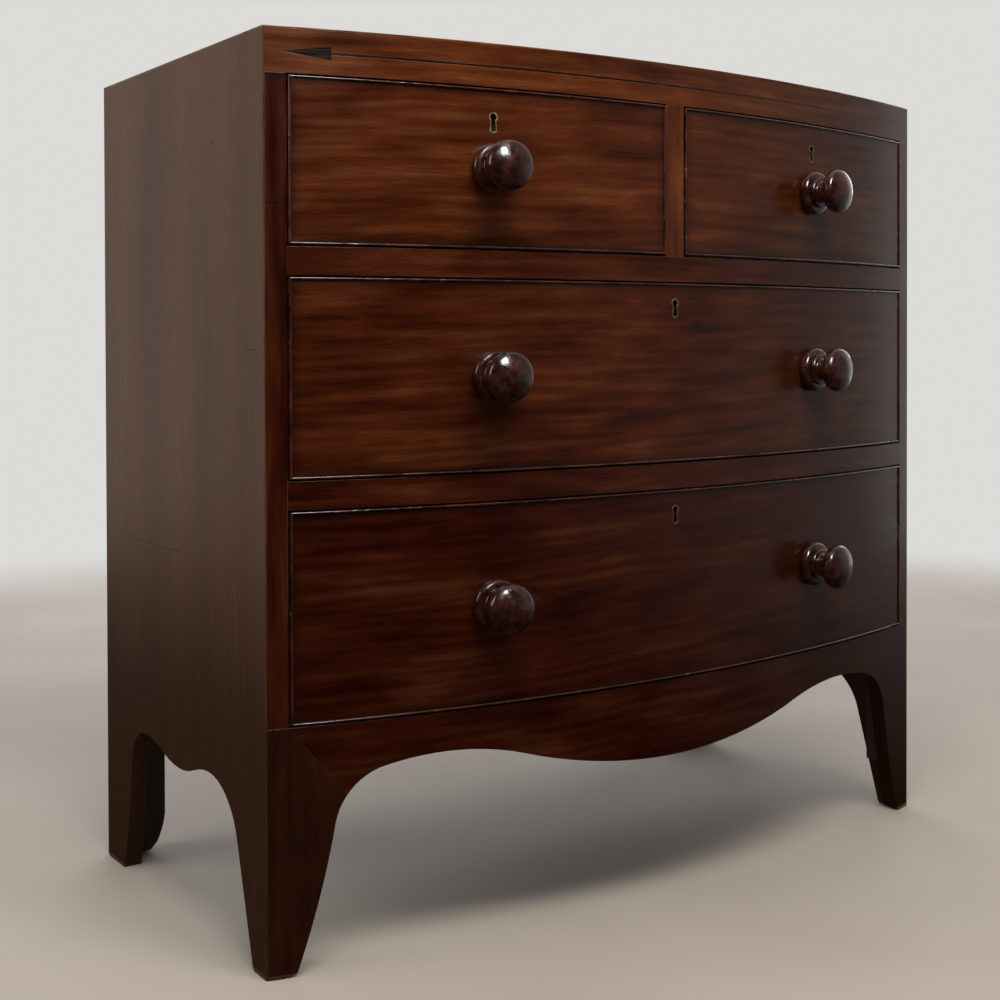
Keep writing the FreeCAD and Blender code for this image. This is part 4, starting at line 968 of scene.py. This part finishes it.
def lay_floor(stage):
    """Round floor of matt paint, which fades into the background far from the chest."""
    material, tree = new_material("matt_floor_paint")
    position = add(tree, "ShaderNodeTexCoord").outputs["Object"]
    clouds = add(tree, "ShaderNodeTexNoise", {"Vector": position, "Scale": 2.5, "Detail": 3})
    base = add(tree, "ShaderNodeMix", {0: clouds, 6: stage.floor, 7: stage.floor_shade}, data_type="RGBA")
    paint = add(tree, "ShaderNodeBsdfPrincipled", {"Base Color": base, "Roughness": 0.6})
    clear = add(tree, "ShaderNodeBsdfTransparent")
    far = add(tree, "ShaderNodeVectorMath", {0: position}, operation="LENGTH").outputs["Value"]
    start, end = 1.9, 2.7
    fade = add(tree, "ShaderNodeMapRange", {0: far, 1: start, 2: end}, interpolation_type="SMOOTHSTEP")
    fade = add(tree, "ShaderNodeMixShader", {0: fade, 1: paint, 2: clear})
    add(tree, "ShaderNodeOutputMaterial", {"Surface": fade})
    edge = 7
    shape = bmesh.new()
    bmesh.ops.create_circle(shape, cap_ends=True, radius=edge, segments=96)
    stage_object("floor", shape, material)


def hang_glowing_card(stage):
    """Dark sheet on the floor and in an arc ahead of the chest that glows, seen only in its polish.

    Its dark glow keeps the wood's colour deep, and its paler, brighter right end puts a grey reflection on
    the far end of the bow.
    """
    material, tree = new_material("glowing_reflection_card")
    radius = stage.glowing_card_radius
    pale = add(tree, "ShaderNodeMapRange", {0: coordinates(tree)["X"], 1: 0.15 * radius, 2: radius})
    tone = add(tree, "ShaderNodeMix", {0: pale, 6: stage.cloth, 7: stage.glowing_card_end}, data_type="RGBA")
    glow = add(tree, "ShaderNodeEmission", {"Color": tone, "Strength": 1.0})
    add(tree, "ShaderNodeOutputMaterial", {"Surface": glow})
    shape = bmesh.new()
    lying = Matrix.Translation((0, 0, 4 * MM))
    bmesh.ops.create_circle(shape, cap_ends=True, radius=radius, segments=96, matrix=lying)
    left_end, sweep, folds = -120, 195, 32
    posts = []
    for step in range(folds + 1):
        angle = math.radians(left_end + sweep * step / folds)
        x, y = radius * math.sin(angle), -radius * math.cos(angle)
        posts.append((shape.verts.new((x, y, 0)), shape.verts.new((x, y, 2.4 * radius))))
    for before, after in zip(posts, posts[1:]):
        shape.faces.new((*before, *reversed(after)))
    cloth = stage_object("cloth", shape, material)
    for ray in ("camera", "diffuse", "transmission", "volume_scatter", "shadow"):
        setattr(cloth, f"visible_{ray}", False)


def soft_lamp(name, place, aim, size, watts, tint):
    """Large rectangular lamp aimed at a point. Gives back the object that holds it."""
    lamp = bpy.data.lights.new(name, "AREA")
    lamp.shape = "RECTANGLE"
    lamp.size, lamp.size_y = size
    lamp.energy = watts
    lamp.color = linear(tint)
    holder = bpy.data.objects.new(name, lamp)
    bpy.context.scene.collection.objects.link(holder)
    holder.location = place
    holder.rotation_euler = (Vector(aim) - Vector(place)).to_track_quat("-Z", "Y").to_euler()
    return holder


def light_room(scene, stage):
    """Pale surroundings, four soft lamps, and a window seen only in the polish."""
    world = bpy.data.worlds.new("pale_room")
    scene.world = world
    world.use_nodes = True
    tree = world.node_tree
    tree.nodes.clear()
    rays = add(tree, "ShaderNodeLightPath").outputs
    seen = rays["Is Camera Ray"]
    for ray in ("Is Glossy Ray", "Is Transmission Ray"):
        seen = add(tree, "ShaderNodeMath", {0: seen, 1: rays[ray]}, operation="MAXIMUM")
    light = add(tree, "ShaderNodeBackground", {"Color": stage.sky, "Strength": stage.sky_strength})
    view = add(tree, "ShaderNodeBackground", {"Color": stage.backdrop, "Strength": 1.0})
    mixed = add(tree, "ShaderNodeMixShader", {0: seen, 1: light, 2: view})
    add(tree, "ShaderNodeOutputWorld", {"Surface": mixed})
    # After each name: the lamp's place, the point it is aimed at, its size, power and colour
    ceiling = soft_lamp(
        "ceiling_lamp", (-0.35, -0.95, 2.1), (0, -0.2, 0.75), (1.4, 0.6), stage.ceiling_power, "fff6ea"
    )
    soft_lamp("left_lamp", (-2.3, 0.5, 1.5), (-0.45, 0, 0.5), (1.4, 1.2), stage.left_power, "fff8f0")
    soft_lamp("right_lamp", (2.4, 0.9, 1.5), (0.45, 0, 0.4), (1.4, 1.2), stage.right_power, "fff8f0")
    back = soft_lamp("back_lamp", (0.9, 2.6, 1.6), (0.3, 0.3, 0), (2.4, 1.2), stage.back_power, "f8f8ff")
    # Seen in the polish, these two would whiten the top and the upper rims of the knobs
    ceiling.visible_glossy = back.visible_glossy = False
    window = soft_lamp(
        "window", (-0.5, -2.1, 2.4), (0, -0.2, 0.6), (0.7, 0.9), stage.window_power, "ffffff"
    )
    window.visible_diffuse = False


def place_camera(scene, stage):
    """Camera at the height of the upper drawers and to the left, with the frame shifted down."""
    place = (-1.05314, -1.40775, 0.59865)
    # In radians: turned to the right, tipped down and rolled
    yaw, pitch, roll = 0.608795, 0.013486, 0.0027355
    ahead = Vector((math.sin(yaw) * math.cos(pitch), math.cos(yaw) * math.cos(pitch), -math.sin(pitch)))
    right = Vector((math.cos(yaw), -math.sin(yaw), 0))
    down = ahead.cross(right)
    turned_right = math.cos(roll) * right + math.sin(roll) * down
    turned_down = math.cos(roll) * down - math.sin(roll) * right
    camera = bpy.data.cameras.new("camera")
    camera.sensor_width = 36
    camera.lens = stage.lens
    camera.shift_y = -0.141
    holder = bpy.data.objects.new("camera", camera)
    scene.collection.objects.link(holder)
    axes = Matrix((turned_right, -turned_down, -ahead)).transposed()
    holder.matrix_world = Matrix.Translation(place) @ axes.to_4x4()
    scene.camera = holder


# Add-on


class CHEST_PT_sidebar(bpy.types.Panel):
    """Lists the chest's operators and their sizes and colours"""

    bl_idname = "CHEST_PT_sidebar"
    bl_label = "Bow front chest"
    bl_space_type = "VIEW_3D"
    bl_region_type = "UI"
    bl_category = "Chest"

    def draw(self, context):
        for operator in OPERATORS:
            self.layout.operator(operator.bl_idname)
        for name, group in PROPERTY_GROUPS.items():
            box = self.layout.box()
            for setting in group.__annotations__:
                box.prop(getattr(context.scene, name), setting)


OPERATORS = (
    CHEST_OT_polish_front,
    CHEST_OT_wax_sides,
    CHEST_OT_polish_drawers,
    CHEST_OT_inlay_stringing,
    CHEST_OT_lay_cockbeads,
    CHEST_OT_turn_knobs,
    CHEST_OT_line_drawers,
    CHEST_OT_board_inside,
    CHEST_OT_fit_locks,
    CHEST_OT_set_stage,
)


def register():
    for group in PROPERTY_GROUPS.values():
        bpy.utils.register_class(group)
    for operator in OPERATORS:
        bpy.utils.register_class(operator)
    bpy.utils.register_class(CHEST_PT_sidebar)
    for name, group in PROPERTY_GROUPS.items():
        setattr(bpy.types.Scene, name, bpy.props.PointerProperty(type=group))


def unregister():
    for name in PROPERTY_GROUPS:
        delattr(bpy.types.Scene, name)
    bpy.utils.unregister_class(CHEST_PT_sidebar)
    for operator in reversed(OPERATORS):
        bpy.utils.unregister_class(operator)
    for group in reversed(list(PROPERTY_GROUPS.values())):
        bpy.utils.unregister_class(group)


def main():
    """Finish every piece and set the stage."""
    register()
    bpy.context.scene.view_settings.view_transform = "Standard"
    for operator in OPERATORS:
        getattr(bpy.ops.chest, operator.bl_idname.split(".")[1])()


if __name__ == "__main__":
    main()
